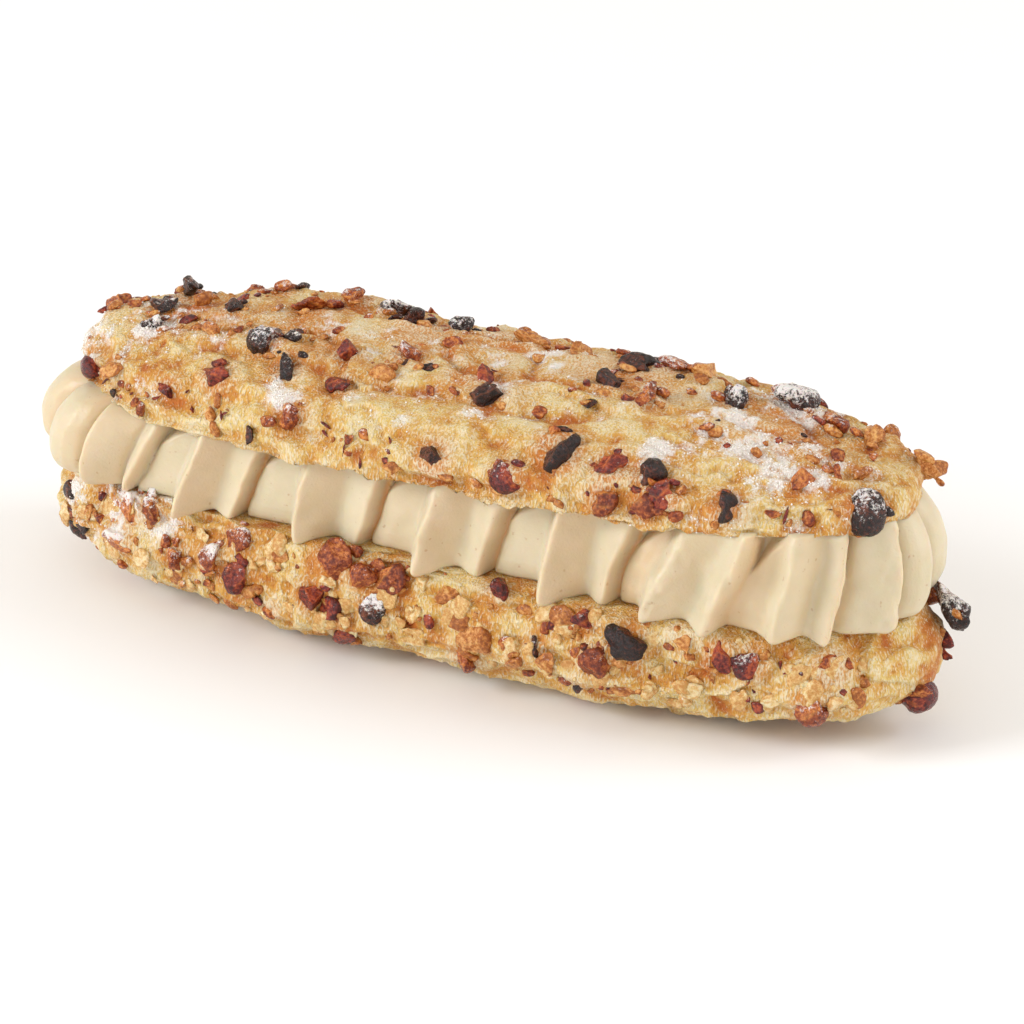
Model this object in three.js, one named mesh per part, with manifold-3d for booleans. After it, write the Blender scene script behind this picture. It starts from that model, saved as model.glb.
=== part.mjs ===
// A filled eclair: a choux shell baked under chopped nuts and sliced through, its base and its lid
// held apart by a thick band of praline cream that was piped in loops with a star nozzle.
// Millimetres, +Z up. X runs along the eclair, -Y is its front, and it stands on z = 0.
import * as THREE from "three";
import { mergeVertices } from "three/addons/utils/BufferGeometryUtils.js";
import Module from "manifold-3d";

const wasm = await Module();
wasm.setup();

// Driving sizes of the base, the lower half of the shell
const BASE = {
  length: 136.5,
  middle: -0.7, // its middle along x
  width: 42.5,
  widestAt: 9.5, // height of the bulge
  rise: 17, // from the bulge to the crown that the knife took off
  drop: 10, // from the bulge down, flattened by the baking tray
  endPower: 3.6, // higher is a straighter side and a blunter end
  crestPower: 1, // lower holds the crest up nearer to the ends
  slope: 0, // climb along x
  hump: 0, // extra height of a round hump in the crest
  humpAt: 0,
  humpSpan: 20,
  salt: 11,
};
const CUT_HEIGHT = 18;

// Driving sizes of the lid, the upper half, which lies on the cream and climbs a little to the right
const LID = {
  length: 129,
  middle: 0,
  width: 41,
  widestAt: 31.5,
  rise: 10.8,
  drop: 8,
  endPower: 3.2,
  crestPower: 0.7,
  slope: 0.025,
  hump: 2,
  humpAt: -42,
  humpSpan: 20,
  salt: 23,
};
const LID_UNDERSIDE = 31.5;

// Section of both shells: 1 is an ellipse, lower is squarer
const SECTION_POWER = 0.88;
const END_ROUNDING = 0.476;

// Crags of the crust: wide lumps, smaller lumps and the ridges that the piping left
const LUMP_SIZE = 12;
const LUMP_HEIGHT = 0.9;
const CRAG_SIZE = 5;
const CRAG_HEIGHT = 0.55;
const PIPED_RIDGES = 13;
const PIPED_RIDGE_HEIGHT = 0.3;
const PIPED_RIDGE_TWIST = 0.05;

// Facets of one shell before it is cut
const SHELL_AROUND = 34;
const SHELL_ALONG = 44;

// The cream's outline in plan is a stadium, and its loops run round it from the left end along the front
const CREAM_LENGTH = 138;
const CREAM_WIDTH = 42.5;
const CREAM_OFFSET_X = -1.6;
const CREAM_GAP = 0.3; // clear of the crust above and below
const FOLD_DEPTH = 8; // from the tip of a ridge to the bottom of the groove beside it
const FOLD_LEAN = 0.22; // sideways for each millimetre up
const CREAM_HEART = 12; // how far in the loops end and the plain heart of the band begins

// One piped loop seen from outside, as [share of the loop, how far it stands out of the groove]
// A fold is a flat panel, a sharp ridge, a valley, and a lower second ridge beside a slot. A tongue is a fold
// whose second ridge stands nearly as far out as the first. A lobe is a rounded turn at an end.
const FOLD = [
  [0, 0.4],
  [0.14, 0.42],
  [0.29, 0.4],
  [0.39, 0.95],
  [0.42, 1],
  [0.53, 0.72],
  [0.64, 0.49],
  [0.77, 0.58],
  [0.88, 0.68],
  [0.93, 0.25],
  [0.96, 0.28],
];
const TONGUE = [
  [0, 0.4],
  [0.14, 0.42],
  [0.29, 0.4],
  [0.39, 0.92],
  [0.42, 0.97],
  [0.53, 0.8],
  [0.64, 0.63],
  [0.77, 0.79],
  [0.88, 0.95],
  [0.93, 0.3],
  [0.96, 0.28],
];
const LOBE = [
  [0, 0.42],
  [0.1, 0.75],
  [0.3, 0.95],
  [0.55, 1],
  [0.8, 0.87],
  [0.94, 0.62],
];
const USUAL_PANEL = 0.41; // share of a fold that its flat panel takes

// Loops along the front from the left end, as [shape, length, share of the panel]
// The back is filled with even folds.
const FRONT_LOOPS = [
  [LOBE, 14, USUAL_PANEL],
  [LOBE, 12, USUAL_PANEL],
  [LOBE, 11.4, USUAL_PANEL],
  [FOLD, 17.3, USUAL_PANEL],
  [FOLD, 19.6, USUAL_PANEL],
  [FOLD, 19.6, USUAL_PANEL],
  [FOLD, 19.1, USUAL_PANEL],
  [TONGUE, 18, 0.28],
  [TONGUE, 17.5, 0.35],
  [LOBE, 9, USUAL_PANEL],
  [LOBE, 9, USUAL_PANEL],
];
const END_LOBES = 2;
const END_LOBE_LENGTH = 12;
const BACK_FOLDS = 6;
const BACK_FOLD_VARIATION = 0.3;

// Side of the cream, as [share of the height, how far in it lies]
// It starts below the band and ends above it, where the flat faces are cut.
const CREAM_SIDE = [
  [-0.1, 2],
  [0, 0.9],
  [0.03, 0.1],
  [0.2, -0.25],
  [0.45, 0],
  [0.7, 0.3],
  [0.93, 0.9],
  [1, 1.5],
  [1.1, 2.6],
];

// Chopped nuts that catch the eye, as [place along x, degrees up from the widest line of the front, length]
// A fourth value is for one that stands off the crust: how far its middle lies above it, as a share.
const LID_LARGE_NUTS = [
  [-59.5, 17, 5],
  [-53, 24, 4.5],
  [-62, 40, 3.5],
  [-62, 110, 5.5],
  [-52, 84, 5.5],
  [-51.5, 108, 5.5, 0.3],
  [-51, 68, 4.5],
  [-40, 84, 4.5],
  [-31, 68, 7],
  [-26, 54, 5.5],
  [-35.5, 37, 5],
  [-30, 95, 6],
  [-17.5, 52, 4],
  [-12, 62, 5],
  [-15.5, 102, 6],
  [-11, 80, 5.5],
  [2, 74, 4.5],
  [4.5, 62, 5.5],
  [1, 17, 5.5],
  [13, 15, 5.5],
  [19, 36, 8],
  [27, 33, 5.5],
  [32.5, 32, 5.5],
  [35.5, 22, 5.5],
  [27, 11, 5],
  [33, 12, 4.5],
  [19.5, 104, 6.5],
  [19, 86, 5],
  [26, 80, 5.5],
  [36.5, 92, 6],
  [44, 17, 4.5],
  [61, 20, 7],
  [62.5, 150, 6, 0.3],
  [-26, 108, 6],
  [-19.5, 110, 6],
  [-8.5, 106, 5],
  [2, 108, 5.5],
  [9.5, 106, 5.5],
  [24.5, 108, 6],
  [29.5, 106, 5.5],
  [43, 108, 7],
  [50, 104, 5.5],
  [56, 104, 5],
];
const BASE_LARGE_NUTS = [
  [-50, 23, 7],
  [-45.5, 26, 5.5],
  [-50.5, 4, 6],
  [-40.5, 4, 4.5],
  [-34.5, 7, 5.5],
  [-29.5, 3, 5.5],
  [-17.5, 3, 5.5],
  [-14.5, 21, 7],
  [-9.5, 17, 5.5],
  [-6, 19, 5.5],
  [-8, 4, 5.5],
  [5.5, -24, 5.5],
  [8, -1, 6],
  [24.5, 20, 4.5],
  [31, 14, 7],
  [27, 4, 5.5],
  [39, 20, 5.5],
  [44.5, 16, 5.5],
  [48.5, 15, 5.5],
  [56.5, -8, 6],
  [58.5, 19, 5.5],
  [66, -85, 7],
  [65.5, 130, 9, 0.35],
  [65.8, 157, 5.5],
  [-30, 21, 4.5],
  [-14.5, -4, 4.5],
  [-13.5, -25, 5],
];

// Smaller chopped nuts, the largest first, spread over the crust clear of the large ones
const LID_SMALL_NUTS = 42;
const BASE_SMALL_NUTS = 40;
const SMALL_NUT_MOST = 4.5;
const SMALL_NUT_LEAST = 2.4;
const SMALL_NUT_SPAN = 2.55; // radians of the half circle that the places along x are drawn from
const LID_NUT_BAND = [8, 172]; // degrees up from the widest line of the front
const BASE_FRONT_NUT_BAND = [-22, 26];
const BASE_BACK_NUT_BAND = [154, 202];
const NUT_CLEARANCE = 5.5;
const NUT_LIFT = 0.1; // how far its middle lies above the crust, as a share of its length
const NUT_ROUGHNESS = 0.22;
const NUT_THICKNESS = [0.55, 0.85]; // least and most, as a share of its length
const NUT_BREADTH = [0.65, 0.95];

// A number from 0 to 1 that depends only on three whole numbers.
function chance(i, j = 0, k = 0) {
  let h = Math.imul(i, 374761393) ^ Math.imul(j, 668265263) ^ Math.imul(k, 1440662683);
  h = Math.imul(h ^ (h >>> 13), 1274126177);
  h = Math.imul(h ^ (h >>> 15), 739982445);
  return ((h ^ (h >>> 16)) >>> 0) / 4294967296;
}

// Smooth lumps from -1 to 1, about one lump for each cell.
function lumps(point, cell, salt) {
  const place = [point.x / cell + salt, point.y / cell, point.z / cell];
  const low = place.map(Math.floor);
  const ease = place.map((v, axis) => THREE.MathUtils.smoothstep(v - low[axis], 0, 1));
  let sum = 0;
  for (let corner = 0; corner < 8; corner++) {
    const step = [corner & 1, (corner >> 1) & 1, corner >> 2];
    const share = step.reduce((w, s, axis) => w * (s ? ease[axis] : 1 - ease[axis]), 1);
    sum += share * chance(low[0] + step[0], low[1] + step[1], low[2] + step[2]);
  }
  return 2 * sum - 1;
}

// A number between two limits that depends only on two whole numbers.
const between = ([least, most], number, purpose) => least + (most - least) * chance(number, 0, purpose);

const signedPower = (v, power) => Math.sign(v) * Math.abs(v) ** power;

// The point of a shell's crust in a direction from its middle: a long loaf with a squarish section.
function crustPoint(shell, direction) {
  const radius = Math.hypot(direction.y, direction.z) || 1;
  const across = direction.y / radius;
  const upward = direction.z / radius;
  const x = shell.middle + (shell.length / 2) * direction.x;
  const end = Math.max(0, 1 - Math.abs(direction.x) ** shell.endPower) ** END_ROUNDING;
  const fromHump = (x - shell.humpAt) / shell.humpSpan;
  const crown = shell.rise + shell.hump * Math.exp(-(fromHump ** 2));
  const height = upward > 0 ? crown * upward ** SECTION_POWER : shell.drop * upward;
  const point = new THREE.Vector3(
    x,
    (shell.width / 2) * end * signedPower(across, SECTION_POWER),
    shell.widestAt + height * end ** shell.crestPower,
  );
  const outward = new THREE.Vector3(direction.x / 2, across, upward).normalize();
  const ridges = Math.cos(PIPED_RIDGES * Math.atan2(upward, across) + PIPED_RIDGE_TWIST * x);
  const relief =
    LUMP_HEIGHT * lumps(point, LUMP_SIZE, shell.salt) +
    CRAG_HEIGHT * lumps(point, CRAG_SIZE, shell.salt + 40) +
    PIPED_RIDGE_HEIGHT * ridges * end;
  point.addScaledVector(outward, relief);
  point.z += shell.slope * x;
  return { point, outward };
}

// Direction from a shell's middle to a place along x and an angle up from the widest line of its front.
function towards(shell, x, degreesUp) {
  const share = (x - shell.middle) / (shell.length / 2);
  const radius = Math.sqrt(1 - share * share);
  const turn = THREE.MathUtils.degToRad(degreesUp);
  return new THREE.Vector3(share, -radius * Math.cos(turn), radius * Math.sin(turn));
}

// A geometry with each vertex once, as a closed surface.
function closed(geometry) {
  geometry.deleteAttribute("normal");
  geometry.deleteAttribute("uv");
  return mergeVertices(geometry, 1e-4);
}

function solidOf(geometry) {
  const surface = closed(geometry);
  return new wasm.Manifold(
    new wasm.Mesh({
      numProp: 3,
      vertProperties: surface.attributes.position.array,
      triVerts: new Uint32Array(surface.index.array),
    }),
  );
}

function geometryOf(solid) {
  const mesh = solid.getMesh();
  const geometry = new THREE.BufferGeometry();
  geometry.setAttribute("position", new THREE.BufferAttribute(mesh.vertProperties, mesh.numProp));
  geometry.setIndex(new THREE.BufferAttribute(mesh.triVerts, 1));
  geometry.computeVertexNormals();
  return geometry;
}

// Moves every vertex of a geometry to where a rule puts it.
function reshape(geometry, rule) {
  const surface = closed(geometry);
  const position = surface.attributes.position;
  const vertex = new THREE.Vector3();
  for (let i = 0; i < position.count; i++) {
    const moved = rule(vertex.fromBufferAttribute(position, i), i);
    position.setXYZ(i, moved.x, moved.y, moved.z);
  }
  return surface;
}

// The whole shell before it is sliced: a ball with its poles at the two ends, stretched onto the crust.
function uncutShell(shell) {
  const ball = new THREE.SphereGeometry(1, SHELL_AROUND, SHELL_ALONG).rotateZ(-Math.PI / 2);
  return solidOf(reshape(ball, (direction) => crustPoint(shell, direction).point));
}

// A block that keeps what lies between two heights, which both climb along x.
function slab(low, high, slope) {
  const block = new THREE.BoxGeometry(2 * CREAM_LENGTH, 2 * CREAM_WIDTH, high - low);
  block.translate(0, 0, (low + high) / 2);
  return solidOf(reshape(block, (v) => v.setZ(v.z + slope * v.x)));
}

// One chopped nut: a rough twenty-sided chip, longer than it is thick.
function nutChip(length, number) {
  const chip = reshape(new THREE.IcosahedronGeometry(length / 2, 0), (v, i) =>
    v.multiplyScalar(1 + NUT_ROUGHNESS * (2 * chance(number, i, 1) - 1)),
  );
  return chip.scale(1, between(NUT_BREADTH, number, 3), between(NUT_THICKNESS, number, 2));
}

// A chopped nut laid on a shell's crust and turned at random about the upright of the crust.
function laidNut(shell, [x, degreesUp, length, lift = NUT_LIFT], number) {
  const { point, outward } = crustPoint(shell, towards(shell, x, degreesUp));
  const upright = new THREE.Vector3(0, 0, 1);
  const stand = new THREE.Quaternion().setFromUnitVectors(upright, outward);
  const spin = new THREE.Quaternion().setFromAxisAngle(upright, 2 * Math.PI * chance(number, 0, 4));
  const middle = point.addScaledVector(outward, lift * length);
  const place = new THREE.Matrix4().compose(middle, stand.multiply(spin), new THREE.Vector3(1, 1, 1));
  return solidOf(nutChip(length, number).applyMatrix4(place));
}

// Small nuts spread evenly over a band of the crust, without those that would lie on a large one.
function smallNuts(shell, count, [lowest, highest], large) {
  const stepAlong = 0.7548776662;
  const stepAround = 0.569840291;
  const placeOf = ([x, degreesUp]) => crustPoint(shell, towards(shell, x, degreesUp)).point;
  const taken = large.map(placeOf);
  return Array.from({ length: count }, (_, n) => {
    const along = ((n + shell.salt) * stepAlong) % 1;
    const around = ((n + shell.salt) * stepAround) % 1;
    const x = shell.middle + (shell.length / 2) * Math.sin((along - 0.5) * SMALL_NUT_SPAN);
    const length = SMALL_NUT_LEAST + (SMALL_NUT_MOST - SMALL_NUT_LEAST) * (1 - n / count);
    return [x, lowest + (highest - lowest) * around, length];
  }).filter((nut) => taken.every((place) => place.distanceTo(placeOf(nut)) > NUT_CLEARANCE));
}

// A shell with its nuts, cut between two heights; scraps that the cut leaves are dropped.
function toppedShell(shell, large, small, kept) {
  const nuts = [...large, ...small].map((nut, n) => laidNut(shell, nut, n + 100 * shell.salt));
  const cut = wasm.Manifold.union([uncutShell(shell), ...nuts]).intersect(kept);
  return cut.decompose().reduce((a, b) => (a.volume() > b.volume() ? a : b));
}

function chouxBase() {
  const small = [
    ...smallNuts(BASE, BASE_SMALL_NUTS / 2, BASE_FRONT_NUT_BAND, BASE_LARGE_NUTS),
    ...smallNuts(BASE, BASE_SMALL_NUTS / 2, BASE_BACK_NUT_BAND, BASE_LARGE_NUTS),
  ];
  return toppedShell(BASE, BASE_LARGE_NUTS, small, slab(0, CUT_HEIGHT, BASE.slope));
}

function chouxLid() {
  const small = smallNuts(LID, LID_SMALL_NUTS, LID_NUT_BAND, LID_LARGE_NUTS);
  const above = slab(LID_UNDERSIDE, 2 * LID_UNDERSIDE, LID.slope);
  return toppedShell(LID, LID_LARGE_NUTS, small, above);
}

// Point and outward direction on the cream's stadium outline, at a distance round it from the left end.
function creamOutline(distance) {
  const radius = CREAM_WIDTH / 2;
  const straight = CREAM_LENGTH - CREAM_WIDTH;
  const quarter = (Math.PI / 2) * radius;
  const whole = 4 * quarter + 2 * straight;
  const s = ((distance % whole) + whole) % whole;
  const arc = (centreX, angle) => {
    const outward = new THREE.Vector2(Math.cos(angle), Math.sin(angle));
    return { point: new THREE.Vector2(centreX, 0).addScaledVector(outward, radius), outward };
  };
  const side = (x, sign) => ({
    point: new THREE.Vector2(x, sign * radius),
    outward: new THREE.Vector2(0, sign),
  });
  if (s < quarter) return arc(-straight / 2, Math.PI + s / radius);
  if (s < quarter + straight) return side(s - quarter - straight / 2, -1);
  if (s < 3 * quarter + straight) return arc(straight / 2, (s - quarter - straight) / radius - Math.PI / 2);
  if (s < 3 * quarter + 2 * straight) return side(straight / 2 - (s - 3 * quarter - straight), 1);
  return arc(-straight / 2, Math.PI / 2 + (s - 3 * quarter - 2 * straight) / radius);
}

// Every column of the cream's side, in order round the outline.
function creamColumns() {
  const lengthOf = (loops) => loops.reduce((sum, [, length]) => sum + length, 0);
  const whole = Math.PI * CREAM_WIDTH + 2 * (CREAM_LENGTH - CREAM_WIDTH);
  const endLobes = Array.from({ length: END_LOBES }, () => [LOBE, END_LOBE_LENGTH, USUAL_PANEL]);
  const share = (n) => 1 + BACK_FOLD_VARIATION * chance(n, 1, 9);
  const back = Array.from({ length: BACK_FOLDS }, (_, n) => [FOLD, share(n)]);
  const room = whole - lengthOf([...FRONT_LOOPS, ...endLobes, ...endLobes]);
  const backLoops = back.map(([shape, part]) => [shape, (part * room) / lengthOf(back), USUAL_PANEL]);
  const columns = [];
  let start = 0;
  [...FRONT_LOOPS, ...endLobes, ...backLoops, ...endLobes].forEach(([shape, length, panel]) => {
    const moved = (along) =>
      along < USUAL_PANEL
        ? (along * panel) / USUAL_PANEL
        : 1 - ((1 - along) * (1 - panel)) / (1 - USUAL_PANEL);
    shape.forEach(([along, out]) => columns.push({ distance: start + moved(along) * length, out }));
    start += length;
  });
  return columns;
}

// The band of cream: a turned pad whose rim is led round the stadium and pushed into folds, cut flat
// below and above.
function pralineCream() {
  const columns = creamColumns();
  const [lowest] = CREAM_SIDE.at(0);
  const [highest] = CREAM_SIDE.at(-1);
  const heart = (height) => [
    [height, CREAM_HEART, 0],
    [height, CREAM_HEART, 1],
  ];
  const rim = CREAM_SIDE.map(([height, inset]) => [height, inset, 1]);
  const rows = [...heart(lowest), ...rim, ...heart(highest).reverse()];
  const profile = rows.map(([, , share], row) => new THREE.Vector2(share, row));
  const pad = new THREE.LatheGeometry(profile, columns.length).rotateX(Math.PI / 2);
  const bottom = CUT_HEIGHT + CREAM_GAP;
  const top = LID_UNDERSIDE - CREAM_GAP;
  const cream = reshape(pad, (v) => {
    const [height, inset, share] = rows[Math.round(v.z)];
    const turn = Math.atan2(v.x, -v.y) / (2 * Math.PI);
    const column = columns[Math.round((turn + 1) * columns.length) % columns.length];
    const lean = FOLD_LEAN * (height - 0.5) * (top - bottom);
    const { point, outward } = creamOutline(column.distance + lean);
    const fold = inset < CREAM_HEART ? FOLD_DEPTH * (1 - column.out) : 0;
    const plan = point.addScaledVector(outward, -inset - fold).multiplyScalar(share);
    const x = plan.x + CREAM_OFFSET_X;
    return new THREE.Vector3(x, plan.y, bottom + (top - bottom + LID.slope * x) * height);
  });
  const aboveBase = slab(bottom, 2 * LID_UNDERSIDE, BASE.slope);
  const belowLid = slab(0, top, LID.slope);
  return solidOf(cream).intersect(aboveBase).intersect(belowLid);
}

// Baked choux and praline cream, as the eye sees them from a step away
const baked = new THREE.MeshStandardMaterial({ color: 0xd6ad71, roughness: 0.75, metalness: 0 });
const piped = new THREE.MeshStandardMaterial({ color: 0xdfcfae, roughness: 0.5, metalness: 0 });

function named(name, solid, material) {
  const mesh = new THREE.Mesh(geometryOf(solid), material);
  mesh.name = name;
  return mesh;
}

const eclair = new THREE.Group();
eclair.add(named("choux_base", chouxBase(), baked));
eclair.add(named("praline_cream", pralineCream(), piped));
eclair.add(named("choux_lid", chouxLid(), baked));

export default eclair;
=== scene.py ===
# The looks of a filled eclair: a craggy choux base and lid under chopped nuts and icing sugar, with a
# thick band of piped praline cream between them. Lengths are in millimetres until a mesh is written.
# Every chance is worked out from whole numbers, so each run lays the same nuts and crumbs.
import math

import bpy
import numpy as np
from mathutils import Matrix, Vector


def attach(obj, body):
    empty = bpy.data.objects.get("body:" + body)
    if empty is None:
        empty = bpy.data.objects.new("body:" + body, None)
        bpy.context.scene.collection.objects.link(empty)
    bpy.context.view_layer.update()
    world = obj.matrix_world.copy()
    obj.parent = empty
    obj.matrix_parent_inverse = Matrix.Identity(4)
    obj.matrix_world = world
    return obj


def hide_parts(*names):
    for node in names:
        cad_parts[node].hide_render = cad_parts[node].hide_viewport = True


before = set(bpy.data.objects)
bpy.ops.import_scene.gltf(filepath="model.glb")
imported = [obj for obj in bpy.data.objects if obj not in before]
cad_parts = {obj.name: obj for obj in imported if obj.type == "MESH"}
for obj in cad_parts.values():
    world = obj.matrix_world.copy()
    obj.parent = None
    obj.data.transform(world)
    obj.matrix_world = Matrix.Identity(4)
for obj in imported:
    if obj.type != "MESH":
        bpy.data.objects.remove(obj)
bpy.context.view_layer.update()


# Base of the shell
# The lower half of a piped and baked choux shell, sliced flat across the top where the cream lies.
# Its crust is a thin golden skin, torn into lengthwise ledges, and it stands flat on the tray side.
MM = 0.001
BASE = dict(length=136.5, middle=-0.7, width=42.5, widest_at=9.5, rise=17, drop=10, end_power=3.6,
            crest_power=1, slope=0, hump=0, hump_at=0, hump_span=20, seed=11)
CUT_HEIGHT = 18
CUT_ROUNDING = 0.3
CUT_CRUMB_SIZE, CUT_CRUMB_HEIGHT = 1.6, 0.2
SECTION_POWER = 0.88
END_ROUNDING = 0.476
LUMP_SIZE, LUMP_HEIGHT = 12, 0.9
CRAG_SIZE, CRAG_HEIGHT = 5, 0.55
PIPED_RIDGES, PIPED_RIDGE_HEIGHT, PIPED_RIDGE_TWIST = 13, 0.3, 0.05

# Vertices of the crust. Most of them lie between two angles up from the widest line, where it is seen.
CRUST_AROUND = 300
CRUST_ALONG = 325
END_CROWDING, EVEN_SPACING = 0.45, 0.55
BALL_SEEN = (-76, 78)
BASE_SEEN = (-52, 34)

# The fine relief of the crust. A reach is how far one ledge or crease runs along, across and up, and the
# seat raises it all, so that the crust lies where its solid does.
FRAY_SIZE, FRAY_HEIGHT = 2.3, 0.9
LEDGE_REACH, LEDGES, LEDGE_HEIGHT = (14, 9, 7), 2, 0.9
LEDGE_TREAD, LEDGE_RISER = 0.7, 0.3
CREASE_REACH, CREASE_WIDTH, CREASE_DEPTH = (12, 8, 6), 0.2, 0.65
PUFF_SIZE, PUFF_HEIGHT, PUFF_SINK = 4.2, 0.5, 0.15
COARSE_CRUMB_SIZE, COARSE_CRUMB_HEIGHT = 1.3, 0.26
FINE_CRUMB_SIZE, FINE_CRUMB_HEIGHT = 0.8, 0.2
RELIEF_SEAT = 0.32

# Beside the nuts the crust is browned and carries painted shade, a darker orange that fades away from each
# nut; low down towards the tray it is tinted darker orange; and it stands up a little round each nut.
NUT_FOOT, ORANGE_FADE_REACH, GOLDEN_NUT_HEAT = 0.4, 1.5, 0.55
BEDDING_HEIGHT, BEDDING_REACH = 0.1, 0.62
LOW_EDGE_TINT_HEIGHT = 5
BASE_NUT_BROWNING_AND_SHADE, LOW_EDGE_TINT = 0.8, 0.3

# Icing sugar lies in broken patches, here as [place along x, degrees up], and gathers in clots.
BASE_SUGAR = [(-52, 18), (-60, 10), (-44, 20)]
BASE_SUGAR_RADIUS, BASE_SUGAR_STRENGTH = 5, 0.75
PATCH_BREAK_SIZE, PATCH_BREAK = 3, 0.6
CLOT_SIZE, CLOT_WEIGHT = 2.4, 0.6
SMALL_CLOT_SIZE, SMALL_CLOT_WEIGHT = 0.9, 0.35
BETWEEN_CLOTS = 0.12

# Sizes of the patterns on the crust. Real crumb is finer: it is drawn as coarse as it needs to be to show.
BRISTLE_SIZE, MOTTLE_SIZE, DUST_SIZE = 0.3, 5, 0.9
BRISTLE_STRETCH = (1, 1, 0.38)

# Large chopped nuts, as [place along x, degrees up from the widest line of the front, length, kind,
# sugar]. A sixth value is for one that stands off the crust: how far its middle lies above it, as a
# share of its length. A seventh is for one that is nearly whole: how much of it is broken off.
BASE_LARGE_NUTS = [
    (-50, 23, 7, "red", 0.8),
    (-45.5, 26, 5.5, "red", 0.7),
    (-50.5, 4, 6, "red", 0.9),
    (-40.5, 4, 4.5, "red", 0.6),
    (-34.5, 7, 5.5, "red", 0.7),
    (-29.5, 3, 5.5, "plum", 0.2),
    (-17.5, 3, 5.5, "plum", 0.2),
    (-14.5, 21, 7, "red", 0.1),
    (-9.5, 17, 5.5, "red", 0.2),
    (-6, 19, 5.5, "red", 0),
    (-8, 4, 5.5, "dark", 0.9),
    (5.5, -24, 5.5, "red", 0),
    (8, -1, 6, "amber", 0),
    (24.5, 20, 4.5, "plum", 0.2),
    (31, 14, 7, "dark", 0),
    (27, 4, 5.5, "red", 0.2),
    (39, 20, 5.5, "amber", 0.1),
    (44.5, 16, 5.5, "plum", 0.1),
    (48.5, 15, 5.5, "plum", 0.5),
    (56.5, -8, 6, "red", 0.6),
    (58.5, 19, 5.5, "red", 0.1),
    (66, -85, 7, "plum", 0, 0, 0.06),
    (65.5, 130, 9, "dark", 0.6, 0.35),
    (65.8, 157, 5.5, "plum", 0.2),
    (-30, 21, 4.5, "red", 0.6),
    (-14.5, -4, 4.5, "plum", 0),
    (-13.5, -25, 5, "plum", 0),
]
BASE_SMALL_NUTS = 40
BASE_NUT_BANDS = [(-22, 26), (154, 202)]
SMALL_NUT_KINDS = ["amber", "red", "amber", "plum", "red", "amber", "dark"]
SMALL_NUT_MOST, SMALL_NUT_LEAST = 4.5, 2.4
SMALL_NUT_SPAN = 2.55
SMALL_NUT_SUGAR = 0.5
NUT_CLEARANCE = 5.5
# Steps along and around that spread any number of nuts evenly over a band
SPREAD_ALONG, SPREAD_AROUND = 0.7548776662, 0.569840291


def chance(i, j=0, k=0):
    """Numbers from 0 to 1 that depend only on three whole numbers."""
    whole = [np.asarray(v).astype(np.int64).astype(np.uint32) for v in (i, j, k)]
    mixed = whole[0] * np.uint32(374761393) ^ whole[1] * np.uint32(668265263)
    mixed = mixed ^ whole[2] * np.uint32(1440662683)
    mixed = (mixed ^ (mixed >> np.uint32(13))) * np.uint32(1274126177)
    mixed = (mixed ^ (mixed >> np.uint32(15))) * np.uint32(739982445)
    return (mixed ^ (mixed >> np.uint32(16))) / 4294967296


def lumps(points, cell, seed):
    """Smooth lumps from -1 to 1 at the points, about one for each cell, which may be longer one way."""
    place = points / cell + np.array([seed, 0, 0])
    low = np.floor(place)
    part = place - low
    ease = part * part * (3 - 2 * part)
    total = 0
    for corner in range(8):
        step = np.array([corner & 1, corner >> 1 & 1, corner >> 2])
        share = np.prod(np.where(step, ease, 1 - ease), axis=1)
        total = total + share * chance(*(low + step).T)
    return 2 * total - 1


def crust_point(shell, share, turn):
    """Points of a shell's crust and the way out of it.

    The share runs from -1 to 1 along the shell, and the turn goes up from the widest line of the front.
    """
    across, upward = -np.cos(turn), np.sin(turn)
    x = shell["middle"] + shell["length"] / 2 * share
    end = np.maximum(0, 1 - np.abs(share) ** shell["end_power"]) ** END_ROUNDING
    crown = shell["rise"] + shell["hump"] * np.exp(-(((x - shell["hump_at"]) / shell["hump_span"]) ** 2))
    above = crown * np.maximum(upward, 0) ** SECTION_POWER + shell["drop"] * np.minimum(upward, 0)
    y = shell["width"] / 2 * end * np.sign(across) * np.abs(across) ** SECTION_POWER
    point = np.stack([x, y, shell["widest_at"] + above * end ** shell["crest_power"]], axis=1)
    outward = np.stack([share / 2, across, upward], axis=1)
    outward /= np.linalg.norm(outward, axis=1)[:, None]
    ridges = np.cos(PIPED_RIDGES * np.arctan2(upward, across) + PIPED_RIDGE_TWIST * x)
    relief = LUMP_HEIGHT * lumps(point, LUMP_SIZE, shell["seed"])
    relief += CRAG_HEIGHT * lumps(point, CRAG_SIZE, shell["seed"] + 40)
    relief += PIPED_RIDGE_HEIGHT * ridges * end
    point = point + outward * relief[:, None]
    point[:, 2] += shell["slope"] * x
    return point, outward


def on_crust(shell, x, degrees_up):
    """Points of a shell's crust at places along x, some degrees up from the widest line of its front."""
    share = (np.atleast_1d(x).astype(float) - shell["middle"]) / (shell["length"] / 2)
    return crust_point(shell, share, np.radians(np.atleast_1d(degrees_up).astype(float)))


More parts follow.
